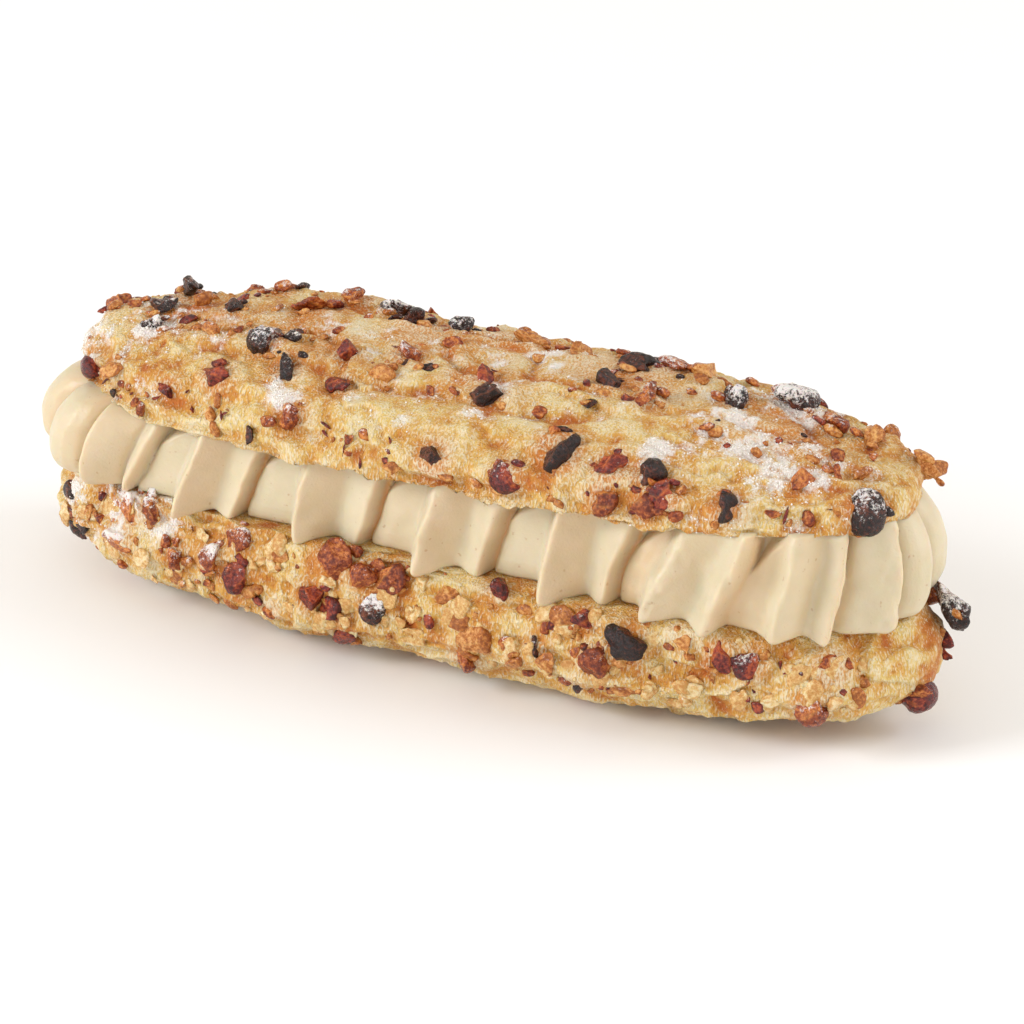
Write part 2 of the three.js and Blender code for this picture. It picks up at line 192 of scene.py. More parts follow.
def small_nuts(shell, count, band, large):
    """Small nuts spread evenly over a band of the crust, without those that would lie on a large one."""
    n = np.arange(count)
    along = (n + shell["seed"]) * SPREAD_ALONG % 1
    around = (n + shell["seed"]) * SPREAD_AROUND % 1
    x = shell["middle"] + shell["length"] / 2 * np.sin((along - 0.5) * SMALL_NUT_SPAN)
    degrees_up = band[0] + (band[1] - band[0]) * around
    length = SMALL_NUT_LEAST + (SMALL_NUT_MOST - SMALL_NUT_LEAST) * (1 - n / count)
    place, _ = on_crust(shell, x, degrees_up)
    taken, _ = on_crust(shell, [nut[0] for nut in large], [nut[1] for nut in large])
    apart = np.linalg.norm(place[:, None] - taken[None], axis=2).min(axis=1)
    kind = [SMALL_NUT_KINDS[int(len(SMALL_NUT_KINDS) * chance(i, shell["seed"], 5))] for i in n]
    return [(x[i], degrees_up[i], length[i], kind[i], SMALL_NUT_SUGAR * chance(i, 3, 6))
            for i in n if apart[i] > NUT_CLEARANCE]


def steps(value):
    """A staircase with steep risers in place of an even climb."""
    part = value - np.floor(value)
    riser = np.clip((part - LEDGE_TREAD) / LEDGE_RISER, 0, 1)
    return np.floor(value) + riser * riser * (3 - 2 * riser)


def fine_relief(point, seed):
    """Torn ledges along the crust, creases between its swellings, puffs and crumbs."""
    fray = np.stack([lumps(point, FRAY_SIZE, seed + n) for n in (91, 92, 93)], axis=1)
    frayed = point + FRAY_HEIGHT * fray
    climb = LEDGES * lumps(frayed, LEDGE_REACH, seed + 7)
    ledges = LEDGE_HEIGHT * (steps(climb) - climb)
    crease = lumps(frayed, CREASE_REACH, seed + 51) / CREASE_WIDTH
    creases = -CREASE_DEPTH * np.exp(-(crease ** 2))
    puffs = PUFF_HEIGHT * np.abs(lumps(frayed, PUFF_SIZE, seed + 60)) - PUFF_SINK
    crumbs = COARSE_CRUMB_HEIGHT * np.abs(lumps(point, COARSE_CRUMB_SIZE, seed + 70))
    crumbs += FINE_CRUMB_HEIGHT * lumps(point, FINE_CRUMB_SIZE, seed + 80)
    return RELIEF_SEAT + ledges + creases + puffs + crumbs


def powder(point, sugar):
    """How thickly icing sugar lies, gathered in clots and thin between them."""
    clots = CLOT_WEIGHT * lumps(point, CLOT_SIZE, 74)
    clots += SMALL_CLOT_WEIGHT * lumps(point, SMALL_CLOT_SIZE, 75)
    return np.clip(sugar + (clots - BETWEEN_CLOTS) * np.minimum(1, 3 * sugar), 0, 1)


def soft_lower(a, b, blend):
    """The lower of two heights, with the corner between them rounded."""
    return np.minimum(a, b) - blend * np.log1p(np.exp(-np.abs(a - b) / blend))


def crust_ball(name, seen):
    """A ball with its poles at the two ends, with the share and the turn of each of its vertices.

    Seen holds the two angles up from the widest line between which most of its facets lie.
    """
    bpy.ops.object.select_all(action="DESELECT")
    bpy.ops.mesh.primitive_uv_sphere_add(segments=CRUST_AROUND, ring_count=CRUST_ALONG, radius=1)
    ball = bpy.context.object
    ball.name = ball.data.name = name
    bpy.ops.object.mode_set(mode="EDIT")
    bpy.ops.mesh.select_all(action="SELECT")
    bpy.ops.transform.rotate(value=math.pi / 2, orient_axis="Y", center_override=(0, 0, 0))
    bpy.ops.object.mode_set(mode="OBJECT")
    place = np.empty(3 * len(ball.data.vertices))
    ball.data.vertices.foreach_get("co", place)
    x, y, z = place.reshape(-1, 3).T
    even = np.arcsin(np.clip(x, -1, 1)) / (math.pi / 2)
    share = np.clip(END_CROWDING * x + EVEN_SPACING * even, -1, 1)
    up = np.degrees(np.arctan2(z, np.abs(y)))
    up = np.interp(up, [-90, *BALL_SEEN, 90], [-90, *seen, 90])
    turn = np.radians(np.where(y <= 0, up, 180 - up))
    return ball, share, turn


def near_nuts(shell, nuts, point):
    """How far the crust is browned and carries painted shade beside the nuts, and how far it stands up
    round them.
    """
    browned_and_shaded = np.zeros(len(point))
    bedded = np.zeros(len(point))
    for x, degrees_up, length, kind, *_ in nuts:
        place, _ = on_crust(shell, x, degrees_up)
        apart = np.linalg.norm(point - place, axis=1)
        beside = np.maximum(0, apart - NUT_FOOT * length)
        heat = GOLDEN_NUT_HEAT if kind == "amber" else 1
        # Browning and painted shade: darker orange close to the nut, fading with distance
        browned_and_shaded = np.maximum(browned_and_shaded, heat * np.exp(-beside / ORANGE_FADE_REACH))
        rise = BEDDING_HEIGHT * length * np.exp(-((apart / (BEDDING_REACH * length)) ** 2))
        bedded = np.maximum(bedded, rise)
    return browned_and_shaded, bedded


def raised_crust(name, shell, seen, nuts):
    """A shell's crust with its relief: the ball, its points, the way out, its relief about the mean, which
    sets painted shade, and how browned and shaded it is beside the nuts.
    """
    ball, share, turn = crust_ball(name, seen)
    point, outward = crust_point(shell, share, turn)
    relief = fine_relief(point, shell["seed"])
    browned_and_shaded, bedded = near_nuts(shell, nuts, point)
    return ball, point + outward * (relief + bedded)[:, None], outward, relief - relief.mean(), browned_and_shaded


def write_mesh(piece, point, **attributes):
    """Puts a piece's vertices in place and stores a value at each vertex for its material to read."""
    piece.data.vertices.foreach_set("co", (point * MM).ravel())
    for name, values in attributes.items():
        layer = piece.data.attributes.new(name, "FLOAT", "POINT")
        layer.data.foreach_set("value", np.asarray(values, np.float32))
    piece.data.update()
    bpy.ops.object.select_all(action="DESELECT")
    piece.select_set(True)
    bpy.context.view_layer.objects.active = piece
    bpy.ops.object.shade_smooth()


def turn_outward():
    """Turns the facets of the active piece so that they all face out."""
    bpy.ops.object.mode_set(mode="EDIT")
    bpy.ops.mesh.select_all(action="SELECT")
    bpy.ops.mesh.normals_make_consistent(inside=False)
    bpy.ops.object.mode_set(mode="OBJECT")


def srgb(code):
    """A colour written as #rrggbb, as linear light."""
    parts = [int(code[i:i + 2], 16) / 255 for i in (1, 3, 5)]
    return [v / 12.92 if v <= 0.04045 else ((v + 0.055) / 1.055) ** 2.4 for v in parts] + [1]


def add_node(tree, kind, inputs=None, stops=None, **settings):
    """Adds a node with its settings, its values or links, and for a ramp its stops."""
    node = tree.nodes.new(kind)
    for name, value in settings.items():
        setattr(node, name, value)
    for name, value in (inputs or {}).items():
        if isinstance(value, bpy.types.NodeSocket):
            tree.links.new(value, node.inputs[name])
        else:
            node.inputs[name].default_value = value
    for n, (place, code) in enumerate(stops or []):
        stop = node.color_ramp.elements[n] if n < 2 else node.color_ramp.elements.new(place)
        stop.position = place
        stop.color = srgb(code)
    return node


def new_material(name):
    """A material without nodes, and its node tree."""
    material = bpy.data.materials.new(name)
    material.use_nodes = True
    material.node_tree.nodes.clear()
    return material, material.node_tree


def choux_material():
    """Baked choux: a dry golden skin with a fine bristly crumb, with painted shade, paler on its raised
    relief and darker orange in its folds, and browning with painted shade beside the nuts.
    """
    material, tree = new_material("baked_choux")
    place = add_node(tree, "ShaderNodeTexCoord").outputs["Object"]
    upright = add_node(tree, "ShaderNodeVectorMath", {0: place, 1: BRISTLE_STRETCH},
                       operation="MULTIPLY").outputs[0]
    grain = add_node(tree, "ShaderNodeTexNoise", {"Vector": upright, "Scale": 1 / (BRISTLE_SIZE * MM),
                                                  "Detail": 2, "Roughness": 0.6}).outputs["Fac"]
    mottle = add_node(tree, "ShaderNodeTexNoise", {"Vector": place, "Scale": 1 / (MOTTLE_SIZE * MM),
                                                   "Detail": 7, "Roughness": 0.68}).outputs["Fac"]
    crag, toast, sugar = (add_node(tree, "ShaderNodeAttribute", attribute_name=stored).outputs["Fac"]
                          for stored in ("crag", "toast", "sugar"))
    # Painted shade: the relief lifts the tone, so raised crust is paler and creases and hollows darker
    # orange
    tone = add_node(tree, "ShaderNodeMath", {0: crag, 1: 0.16, 2: mottle},
                    operation="MULTIPLY_ADD").outputs[0]
    ground = add_node(tree, "ShaderNodeValToRGB", {"Fac": tone}, stops=[
        (0.3, "#bc6620"), (0.78, "#f4e1a8"), (0.45, "#dca446"), (0.58, "#e8c874")])
    # Browning and painted shade beside the nuts, toasting on the crown and the darker orange low down and
    # at the cut edge, mixed towards a darker orange
    heat = add_node(tree, "ShaderNodeMath", {0: toast, 1: 0.75}, operation="MULTIPLY")
    browned_and_shaded = add_node(tree, "ShaderNodeMix", {0: heat.outputs[0], 6: ground.outputs["Color"],
                                               7: srgb("#cc7026")}, data_type="RGBA")
    raised = add_node(tree, "ShaderNodeMath", {0: tone, 1: 0.5, 2: grain},
                      operation="MULTIPLY_ADD").outputs[0]
    bristle = add_node(tree, "ShaderNodeMapRange", {"Value": raised, "From Min": 0.72, "From Max": 0.9,
                                                    "To Max": 0.78}).outputs[0]
    skin = add_node(tree, "ShaderNodeMix", {0: bristle, 6: browned_and_shaded.outputs[2], 7: srgb("#f5e7c8")},
                    data_type="RGBA")
    dust = add_node(tree, "ShaderNodeTexNoise", {"Vector": place, "Scale": 1 / (DUST_SIZE * MM),
                                                 "Detail": 5, "Roughness": 0.75}).outputs["Fac"]
    heaped = add_node(tree, "ShaderNodeMath", {0: sugar, 1: 0.5, 2: dust}, operation="MULTIPLY_ADD")
    white = add_node(tree, "ShaderNodeMapRange", {"Value": heaped.outputs[0], "From Min": 0.7,
                                                  "From Max": 0.92, "To Max": 0.86}).outputs[0]
    colour = add_node(tree, "ShaderNodeMix", {0: white, 6: skin.outputs[2], 7: srgb("#faf6f1")},
                      data_type="RGBA")
    rough = add_node(tree, "ShaderNodeMapRange", {"Value": white, "To Min": 0.5, "To Max": 0.95}).outputs[0]
    height = add_node(tree, "ShaderNodeMath", {0: mottle, 1: 1.2, 2: grain}, operation="MULTIPLY_ADD")
    bump = add_node(tree, "ShaderNodeBump", {"Height": height.outputs[0], "Strength": 1,
                                             "Distance": 0.75 * MM})
    shader = add_node(tree, "ShaderNodeBsdfPrincipled", {
        "Base Color": colour.outputs[2], "Roughness": rough, "Normal": bump.outputs[0],
        "Subsurface Weight": 0.12, "Subsurface Radius": (1, 0.5, 0.25), "Subsurface Scale": 0.8 * MM,
        "Specular IOR Level": 0.4})
    add_node(tree, "ShaderNodeOutputMaterial", {"Surface": shader.outputs[0]})
    return material


base_nuts = list(BASE_LARGE_NUTS)
for band in BASE_NUT_BANDS:
    base_nuts += small_nuts(BASE, BASE_SMALL_NUTS // 2, band, BASE_LARGE_NUTS)
base, point, outward, crag, browned_and_shaded = raised_crust("choux_base_crust", BASE, BASE_SEEN, base_nuts)
cut = CUT_HEIGHT + CUT_CRUMB_HEIGHT * lumps(point, CUT_CRUMB_SIZE, 5)
point[:, 2] = soft_lower(point[:, 2], cut, CUT_ROUNDING)
point[:, 2] = np.maximum(point[:, 2], 0)
# How near the tray the crust is; low down it is tinted darker orange
low_edge = np.clip(1 - point[:, 2] / LOW_EDGE_TINT_HEIGHT, 0, 1)
sugar_at, _ = on_crust(BASE, *zip(*BASE_SUGAR))
apart = np.linalg.norm(point[:, None] - sugar_at[None], axis=2).min(axis=1)
broken = 1 + PATCH_BREAK * lumps(point, PATCH_BREAK_SIZE, 17)
sugar = powder(point, BASE_SUGAR_STRENGTH * np.exp(-((broken * apart / BASE_SUGAR_RADIUS) ** 2)))
sugared = [(point, outward, sugar)]
# Browning and painted shade beside the nuts, or the darker orange low down, whichever is stronger
toast = np.maximum(BASE_NUT_BROWNING_AND_SHADE * browned_and_shaded, LOW_EDGE_TINT * low_edge)
write_mesh(base, point, crag=crag, toast=toast, sugar=sugar)
turn_outward()
choux = choux_material()
base.data.materials.append(choux)
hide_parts("choux_base")
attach(base, "root")


# Praline cream
# A thick band of nut cream, piped in loops with a star nozzle, that lies on the base and carries the lid.
# Each loop shows a smooth set-back panel and a ridge with two sharp edges and a fluted face between.
LID_UNDERSIDE = 31.5
LID_SLOPE = 0.025
CREAM_LENGTH, CREAM_WIDTH, CREAM_OFFSET_X = 138, 42.5, -1.6
CREAM_GAP = 0.05
FOLD_DEPTH = 8
PANEL_OUT = 3.4
USUAL_PANEL = 0.41
PROFILE_STEP = 0.05
EDGE_ROUNDING, SOFT_ROUNDING = 0.22, 0.9

# Vertices of the cream. Above and below the rim, two rows run in under the shell, to the cream's heart.
CREAM_COLUMNS = 1400
CREAM_RIM_ROWS = 56
TUCKED_ROWS = 2
CREAM_ROWS = CREAM_RIM_ROWS + 2 * TUCKED_ROWS
ROW_HEIGHTS = [(0, 0), (0.15, 0.08), (0.85, 0.9), (1, 1)]
CREAM_TUCK, CREAM_HEART = 2, 12

# The side of the cream, as [share of the height from the base to the lid, how far it is set in]
CREAM_SIDE = [(0, 0.6), (0.03, 0.15), (0.08, -0.05), (0.2, -0.2), (0.45, 0), (0.7, 0.3), (0.93, 0.9),
              (1, 1.5)]
LID_TUCK, LID_TUCK_FROM = 0.3, 0.4
LOBE_ROUNDING, LOBE_FULLNESS, LOBE_POWER = 3.4, 0.97, 2.6
SHOULDER_DEPTH, SHOULDER_LOW, SHOULDER_CLIMB, SHOULDER_BLEND = 2.6, 0.5, 0.4, 0.16

# Waves of the edges, as [size, height, seed], and swellings of the faces, as [size, height, how much more
# where the cream is torn, seed]
EDGE_WAVES = [(4.5, 0.35, 47), (1.6, 0.14, 53)]
FACE_SWELLINGS = [(6, 0.22, 0.5, 31), (2, 0.07, 0.2, 37)]
TORN_NICK_SIZE, TORN_NICKS_FROM, TORN_NICKS_TO = 1.4, 5, 7.5

# Painted shade on the cream: its slots, the faces that fall away along the loops, turned from the key
# light, and its torn valleys are tinted a darker warm orange.
SLOT_MARGIN, SLOT_DEPTH, TURNED_AWAY_SHADE = 0.5, 1.6, 0.2
TORN_VALLEY_SHADE, TORN_VALLEY, TORN_DEPTH = 0.3, 4.8, 2

# Sizes of the patterns in the cream
CLOUD_SIZE, SPECK_SIZE, GROUND_NUT_SIZE = 5, 0.9, 0.4

# One loop seen from outside, as [share of the loop, how far it stands out of the deepest groove]
LOBE = [(0, 3.4), (0.06, 5.3), (0.15, 6.6), (0.3, 7.5), (0.5, 8), (0.7, 7.5), (0.85, 6.4), (0.95, 4.8),
        (1, 3.4)]
DISC = [(0, 2.4), (0.05, 5), (0.12, 7.6), (0.17, 8), (0.24, 7.8), (0.6, 6), (0.9, 4.4), (1, 3.2)]
CURL = [(0, 3), (0.15, 4.2), (0.4, 5.4), (0.6, 5.4), (0.8, 4.2), (0.92, 2.2), (1, 2.2)]
RIDGE = [(0, 2.8), (0.06, 4.2), (0.2, 5), (0.5, 6.2), (0.78, 7.6), (0.86, 8), (0.95, 4), (1, 2.4)]
PLAIN_LOOPS = [LOBE, DISC, CURL, RIDGE]


def fold(edge, valley, second):
    """A loop with a set-back panel, a sharp edge, a valley, a lower second edge and a dark slot."""
    panel = [(0, 3.2), (0.1, 3.3), (0.28, 3.15), (0.31, 3.4)]
    face = [(0.4, edge - 0.25), (0.42, edge), (0.44, edge - 0.3), (0.66, valley + 0.2), (0.7, valley),
            (0.73, valley + 0.2), (0.86, second - 0.15), (0.89, second), (0.91, second - 0.3)]
    slot = [(0.935, 1.7), (0.945, 1.3), (0.955, 1.5), (0.97, 2.8), (0.985, 3.1), (1, 3.2)]
    return panel + face + slot


# Along a fold, as shares of its length: where its slot ends and the next panel begins, how long a panel is
# and where it runs out, where the two edges droop, and how much more each place leans than the loop does.
SLOT_END, SLOT_REST = 0.96, 0.04
PANEL_SPAN, PANEL_FADE = 0.34, (0.24, 0.32)
DROOP_PLACES = [0.34, 0.42, 0.55, 0.64, 0.78, 0.87, 0.93]
FOLD_LEAN = [(0, 0.16), (0.3, 0.03), (0.42, 0), (0.88, 0.06), (0.95, 0.16), (1, 0.16)]

# Loops from the left end along the front, as [shape, length, panel, lean, roundness, droops of both
# edges, torn].
FRONT_LOOPS = [
    (LOBE, 14, USUAL_PANEL, 0.1, 1, (0, 0), 0),
    (LOBE, 12, USUAL_PANEL, 0.1, 1, (0, 0), 0),
    (DISC, 7.6, USUAL_PANEL, 0.2, 0.9, (0, 0), 0),
    (CURL, 3.8, USUAL_PANEL, 0.7, 0.4, (0, 0), 0),
    (fold(8, 3.7, 5.2), 17.3, USUAL_PANEL, 0.26, 0, (1, 0.2), 0),
    (fold(7.6, 3.4, 5), 19.6, USUAL_PANEL, 0.16, 0, (0.7, 0.2), 0),
    (fold(8.2, 3.7, 5.6), 19.6, USUAL_PANEL, 0.2, 0, (1.6, 0.4), 0.3),
    (fold(8.2, 3.5, 5.5), 19.1, USUAL_PANEL, 0.16, 0, (1.5, 0.4), 0),
    (fold(8, 4.3, 7.6), 18, 0.28, 0.42, 0, (1, 1.4), 0.9),
    (fold(6.4, 3.6, 7.2), 17.5, 0.35, 0.3, 0, (0.5, 0.9), 0.6),
    (RIDGE, 9, USUAL_PANEL, 0.2, 0, (0, 0.9), 0.4),
    (LOBE, 9, USUAL_PANEL, 0.15, 0.6, (0, 0), 0),
]
END_LOBE = (LOBE, 12, USUAL_PANEL, 0.15, 0.8, (0, 0), 0)
# The back, which is plainer: its folds, how much their lengths, valleys and leans vary, and how they droop
BACK_FOLDS, BACK_FOLD_VARIATION = 6, 0.3
BACK_EDGE, BACK_VALLEY, BACK_SECOND = 8, 4, 5.4
BACK_LEAN, BACK_LEAN_VARIATION, BACK_DROOPS, BACK_TORN = 0.15, 0.2, (1, 0.3), 0.2


def cream_outline(distance):
    """Points and outward ways on the stadium outline, at distances round it from the left end."""
    radius = CREAM_WIDTH / 2
    straight = CREAM_LENGTH - CREAM_WIDTH
    quarter = math.pi / 2 * radius
    along = distance % (4 * quarter + 2 * straight)
    bounds = [quarter, quarter + straight, 3 * quarter + straight, 3 * quarter + 2 * straight]
    stretch = np.searchsorted(bounds, along, side="right")
    angle = np.choose(stretch, [
        math.pi + along / radius, np.full_like(along, -math.pi / 2),
        (along - bounds[1]) / radius - math.pi / 2, np.full_like(along, math.pi / 2),
        math.pi / 2 + (along - bounds[3]) / radius])
    centre = np.choose(stretch, [
        np.full_like(along, -straight / 2), along - bounds[0] - straight / 2,
        np.full_like(along, straight / 2), straight / 2 - (along - bounds[2]),
        np.full_like(along, -straight / 2)])
    outward = np.stack([np.cos(angle), np.sin(angle)], axis=1)
    return np.stack([centre, np.zeros_like(along)], axis=1) + radius * outward, outward


def smooth_round(values, width):
    """Values on a closed ring, smoothed over a width in millimetres."""
    reach = np.arange(-int(4 * width / PROFILE_STEP), int(4 * width / PROFILE_STEP) + 1)
    weight = np.exp(-0.5 * (reach * PROFILE_STEP / width) ** 2)
    wide = np.concatenate([values[-len(reach):], values, values[:len(reach)]])
    return np.convolve(wide, weight / weight.sum(), mode="same")[len(reach):-len(reach)]


def ease(value, low, high):
    """0 below one limit, 1 above the other, and a smooth climb between."""
    part = np.clip((value - low) / (high - low), 0, 1)
    return part * part * (3 - 2 * part)


outline_length = math.pi * CREAM_WIDTH + 2 * (CREAM_LENGTH - CREAM_WIDTH)
back_shares = 1 + BACK_FOLD_VARIATION * chance(np.arange(BACK_FOLDS), 1, 9)
back_room = outline_length - sum(loop[1] for loop in FRONT_LOOPS) - 4 * END_LOBE[1]
back_loops = []
for n, part in enumerate(back_shares):
    shape = fold(BACK_EDGE, BACK_VALLEY + chance(n, 5, 9), BACK_SECOND)
    lean = BACK_LEAN + BACK_LEAN_VARIATION * chance(n, 4, 9)
    length = part * back_room / back_shares.sum()
    back_loops.append((shape, length, USUAL_PANEL, lean, 0, BACK_DROOPS, BACK_TORN))
loops = FRONT_LOOPS + [END_LOBE] * 2 + back_loops + [END_LOBE] * 2
ring = np.arange(0, outline_length, PROFILE_STEP)
ring_out, ring_panel, ring_across, ring_lean, ring_round, ring_droop, ring_torn = np.zeros((7, len(ring)))
start = 0
for shape, length, panel, lean, roundness, droops, torn in loops:
    here = (ring >= start) & (ring < start + length)
    along = (ring[here] - start) / length
    moved = np.where(along < panel, along / panel * USUAL_PANEL,
                     1 - (1 - along) / (1 - panel) * (1 - USUAL_PANEL))
    ring_out[here] = np.interp(moved, *zip(*shape))
    ring_lean[here] = lean
    if shape not in PLAIN_LOOPS:
        across = np.where(moved > SLOT_END, moved - SLOT_END, moved + SLOT_REST) / PANEL_SPAN
        ring_panel[here] = np.where(moved > SLOT_END, 1, 1 - ease(moved, *PANEL_FADE))
        ring_across[here] = np.clip(across, 0, 1)
        ring_lean[here] += np.interp(moved, *zip(*FOLD_LEAN))
    ring_round[here] = roundness
    first, second = droops
    ring_droop[here] = np.interp(moved, DROOP_PLACES, [0, first, 0.25 * first, 0, 0.3 * second, second, 0])
    ring_torn[here] = torn
    start += length

# Each value blends from loop to loop over its own width, and the profile itself is softer where it is torn.
ring_torn = smooth_round(ring_torn, 1)
sharp, soft = smooth_round(ring_out, EDGE_ROUNDING), smooth_round(ring_out, SOFT_ROUNDING)
ring_out = sharp + (soft - sharp) * ring_torn
# How steeply the profile falls away along the ring, on faces turned from the key light, which get painted
# shade
ring_fall = smooth_round(np.clip(-np.gradient(ring_out, PROFILE_STEP), 0, 1), 0.5)
ring_panel = smooth_round(ring_panel, 0.3)
ring_lean = smooth_round(ring_lean, 2.5)
ring_round = smooth_round(ring_round, 1)
ring_droop = smooth_round(ring_droop, 0.8)

bpy.ops.object.select_all(action="DESELECT")
bpy.ops.mesh.primitive_grid_add(x_subdivisions=CREAM_COLUMNS, y_subdivisions=CREAM_ROWS, size=1)
cream = bpy.context.object
cream.name = cream.data.name = "praline_cream_band"
place = np.empty(3 * len(cream.data.vertices))
cream.data.vertices.foreach_get("co", place)
place = place.reshape(-1, 3) + 0.5
distance = place[:, 0] / place[:, 0].max() * outline_length
row = np.rint(place[:, 1] / place[:, 1].max() * CREAM_ROWS).astype(int)
from_edge = np.minimum(row, CREAM_ROWS - row)
height = np.interp(np.clip((row - TUCKED_ROWS) / CREAM_RIM_ROWS, 0, 1), *zip(*ROW_HEIGHTS))
thickness = LID_UNDERSIDE - CUT_HEIGHT
lean = np.interp(distance, ring, ring_lean, period=outline_length) * (height - 0.5) * thickness
edge_place = np.column_stack([distance, height * thickness, np.zeros_like(height)])
wavy = sum(wave * lumps(edge_place, size, seed) for size, wave, seed in EDGE_WAVES)
read = (distance - lean + wavy) % outline_length
out, panel, across, roundness, droop, torn, fall = (
    np.interp(read, ring, values, period=outline_length)
    for values in (ring_out, ring_panel, ring_across, ring_round, ring_droop, ring_torn, ring_fall))
tucked = 1 - LID_TUCK * ease(height, LID_TUCK_FROM, 1)
out = np.minimum(out, PANEL_OUT) + np.maximum(out - PANEL_OUT, 0) * tucked
side = np.interp(height, *zip(*CREAM_SIDE))
rounded = LOBE_ROUNDING * (1 - np.sqrt(1 - LOBE_FULLNESS * np.abs(2 * height - 1) ** LOBE_POWER))
shoulder = ease(height - SHOULDER_LOW - SHOULDER_CLIMB * np.sqrt(across), 0, SHOULDER_BLEND)
inset = side + FOLD_DEPTH - out + roundness * rounded + SHOULDER_DEPTH * panel * shoulder
outline, outward = cream_outline(distance)
rough_place = np.column_stack([outline - outward * inset[:, None], height * thickness])
for size, swelling, when_torn, seed in FACE_SWELLINGS:
    inset = inset + (swelling + when_torn * torn) * lumps(rough_place, size, seed)
nicked = torn * ease(out, TORN_NICKS_FROM, TORN_NICKS_TO)
inset = inset + nicked * np.maximum(0, lumps(rough_place, TORN_NICK_SIZE, 41))
inset = np.where(from_edge == 1, inset + CREAM_TUCK, inset)
inset = np.where(from_edge == 0, CREAM_HEART, inset)
plan = outline - outward * inset[:, None]
x = plan[:, 0] + CREAM_OFFSET_X
hanging = droop * (from_edge >= TUCKED_ROWS)
top = LID_UNDERSIDE + LID_SLOPE * x
z = CUT_HEIGHT + CREAM_GAP + (top - CUT_HEIGHT) * height - hanging * (1 - height) ** 3
# Painted shade: how far the cream is tinted darker warm orange, in slots, on faces turned from the light
# and in torn valleys
groove = ease(PANEL_OUT - SLOT_MARGIN - out, 0, SLOT_DEPTH) + TURNED_AWAY_SHADE * fall
groove += TORN_VALLEY_SHADE * torn * ease(TORN_VALLEY - out, 0, TORN_DEPTH)
write_mesh(cream, np.column_stack([x, plan[:, 1], z]), groove=groove)
bpy.ops.object.mode_set(mode="EDIT")
bpy.ops.mesh.select_all(action="SELECT")
bpy.ops.mesh.remove_doubles(threshold=0.01 * MM)
bpy.ops.mesh.fill_holes(sides=0)
bpy.ops.object.mode_set(mode="OBJECT")
turn_outward()


def cream_material():
    """Praline cream: smooth and softly shining, light goes into it, with specks of ground nut, and painted
    warm shade in its slots and on faces turned from the light.
    """
    material, tree = new_material("praline_cream")
    place = add_node(tree, "ShaderNodeTexCoord").outputs["Object"]
    groove = add_node(tree, "ShaderNodeAttribute", attribute_name="groove").outputs["Fac"]
    cloud = add_node(tree, "ShaderNodeTexNoise", {"Vector": place, "Scale": 1 / (CLOUD_SIZE * MM),
                                                  "Detail": 3}).outputs["Fac"]
    tint = add_node(tree, "ShaderNodeValToRGB", {"Fac": cloud}, stops=[(0.3, "#cec1a1"), (0.7, "#d7caad")])
    # Painted shade: slots, faces turned from the light and torn valleys mix towards a darker warm orange
    shade_share = add_node(tree, "ShaderNodeMapRange", {"Value": groove, "To Max": 0.9}).outputs[0]
    shaded_tint = add_node(tree, "ShaderNodeMix", {0: shade_share, 6: tint.outputs["Color"], 7: srgb("#e09a46")},
                    data_type="RGBA")
    fleck = add_node(tree, "ShaderNodeTexNoise", {"Vector": place, "Scale": 1 / (SPECK_SIZE * MM),
                                                  "Detail": 1}).outputs["Fac"]
    speck = add_node(tree, "ShaderNodeMapRange", {"Value": fleck, "From Min": 0.72, "From Max": 0.78,
                                                  "To Max": 0.4}).outputs[0]
    colour = add_node(tree, "ShaderNodeMix", {0: speck, 6: shaded_tint.outputs[2], 7: srgb("#a8743c")},
                      data_type="RGBA")
    fine = add_node(tree, "ShaderNodeTexNoise", {"Vector": place, "Scale": 1 / (GROUND_NUT_SIZE * MM),
                                                 "Detail": 3}).outputs["Fac"]
    bump = add_node(tree, "ShaderNodeBump", {"Height": fine, "Strength": 0.4, "Distance": 0.15 * MM})
    shader = add_node(tree, "ShaderNodeBsdfPrincipled", {
        "Base Color": colour.outputs[2], "Roughness": 0.42, "Normal": bump.outputs[0],
        "Subsurface Weight": 0.55, "Subsurface Radius": (1, 0.5, 0.22), "Subsurface Scale": 1.7 * MM,
        "Specular IOR Level": 0.5})
    add_node(tree, "ShaderNodeOutputMaterial", {"Surface": shader.outputs[0]})
    return material


cream.data.materials.append(cream_material())
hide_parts("praline_cream")
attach(cream, "root")


# Lid of the shell
# The upper half of the shell, laid back on the cream, a little askew: it climbs to the right.
# Its cut edge is ragged and crumbly, its crown carries most of the nuts and a dusting of icing sugar.
LID = dict(length=129, middle=0, width=41, widest_at=31.5, rise=10.8, drop=8, end_power=3.2,
           crest_power=0.7, slope=LID_SLOPE, hump=2, hump_at=-42, hump_span=20, seed=23)
LID_SEEN = (-8, 78)

# The ragged cut edge: how far it hangs down, how ragged it is, and its tears, as [size, height, seed]
LID_EDGE_DROP, LID_EDGE_ROUNDING, RAGGED_HEIGHT = 0.5, 0.15, 0.8
EDGE_TEARS = [(4.2, 0.7, 3), (1.5, 0.6, 9), (0.8, 0.5, 13)]

# The crown browns in patches, where the crust faces up.
CROWN_FROM, CROWN_TO = 0.75, 0.97
CROWN_PATCH_SIZE, CROWN_PATCH_LEVEL, CROWN_PATCH_CONTRAST = 7, 0.65, 0.7
CUT_EDGE_TINT, CROWN_TOAST = 0.4, 0.9

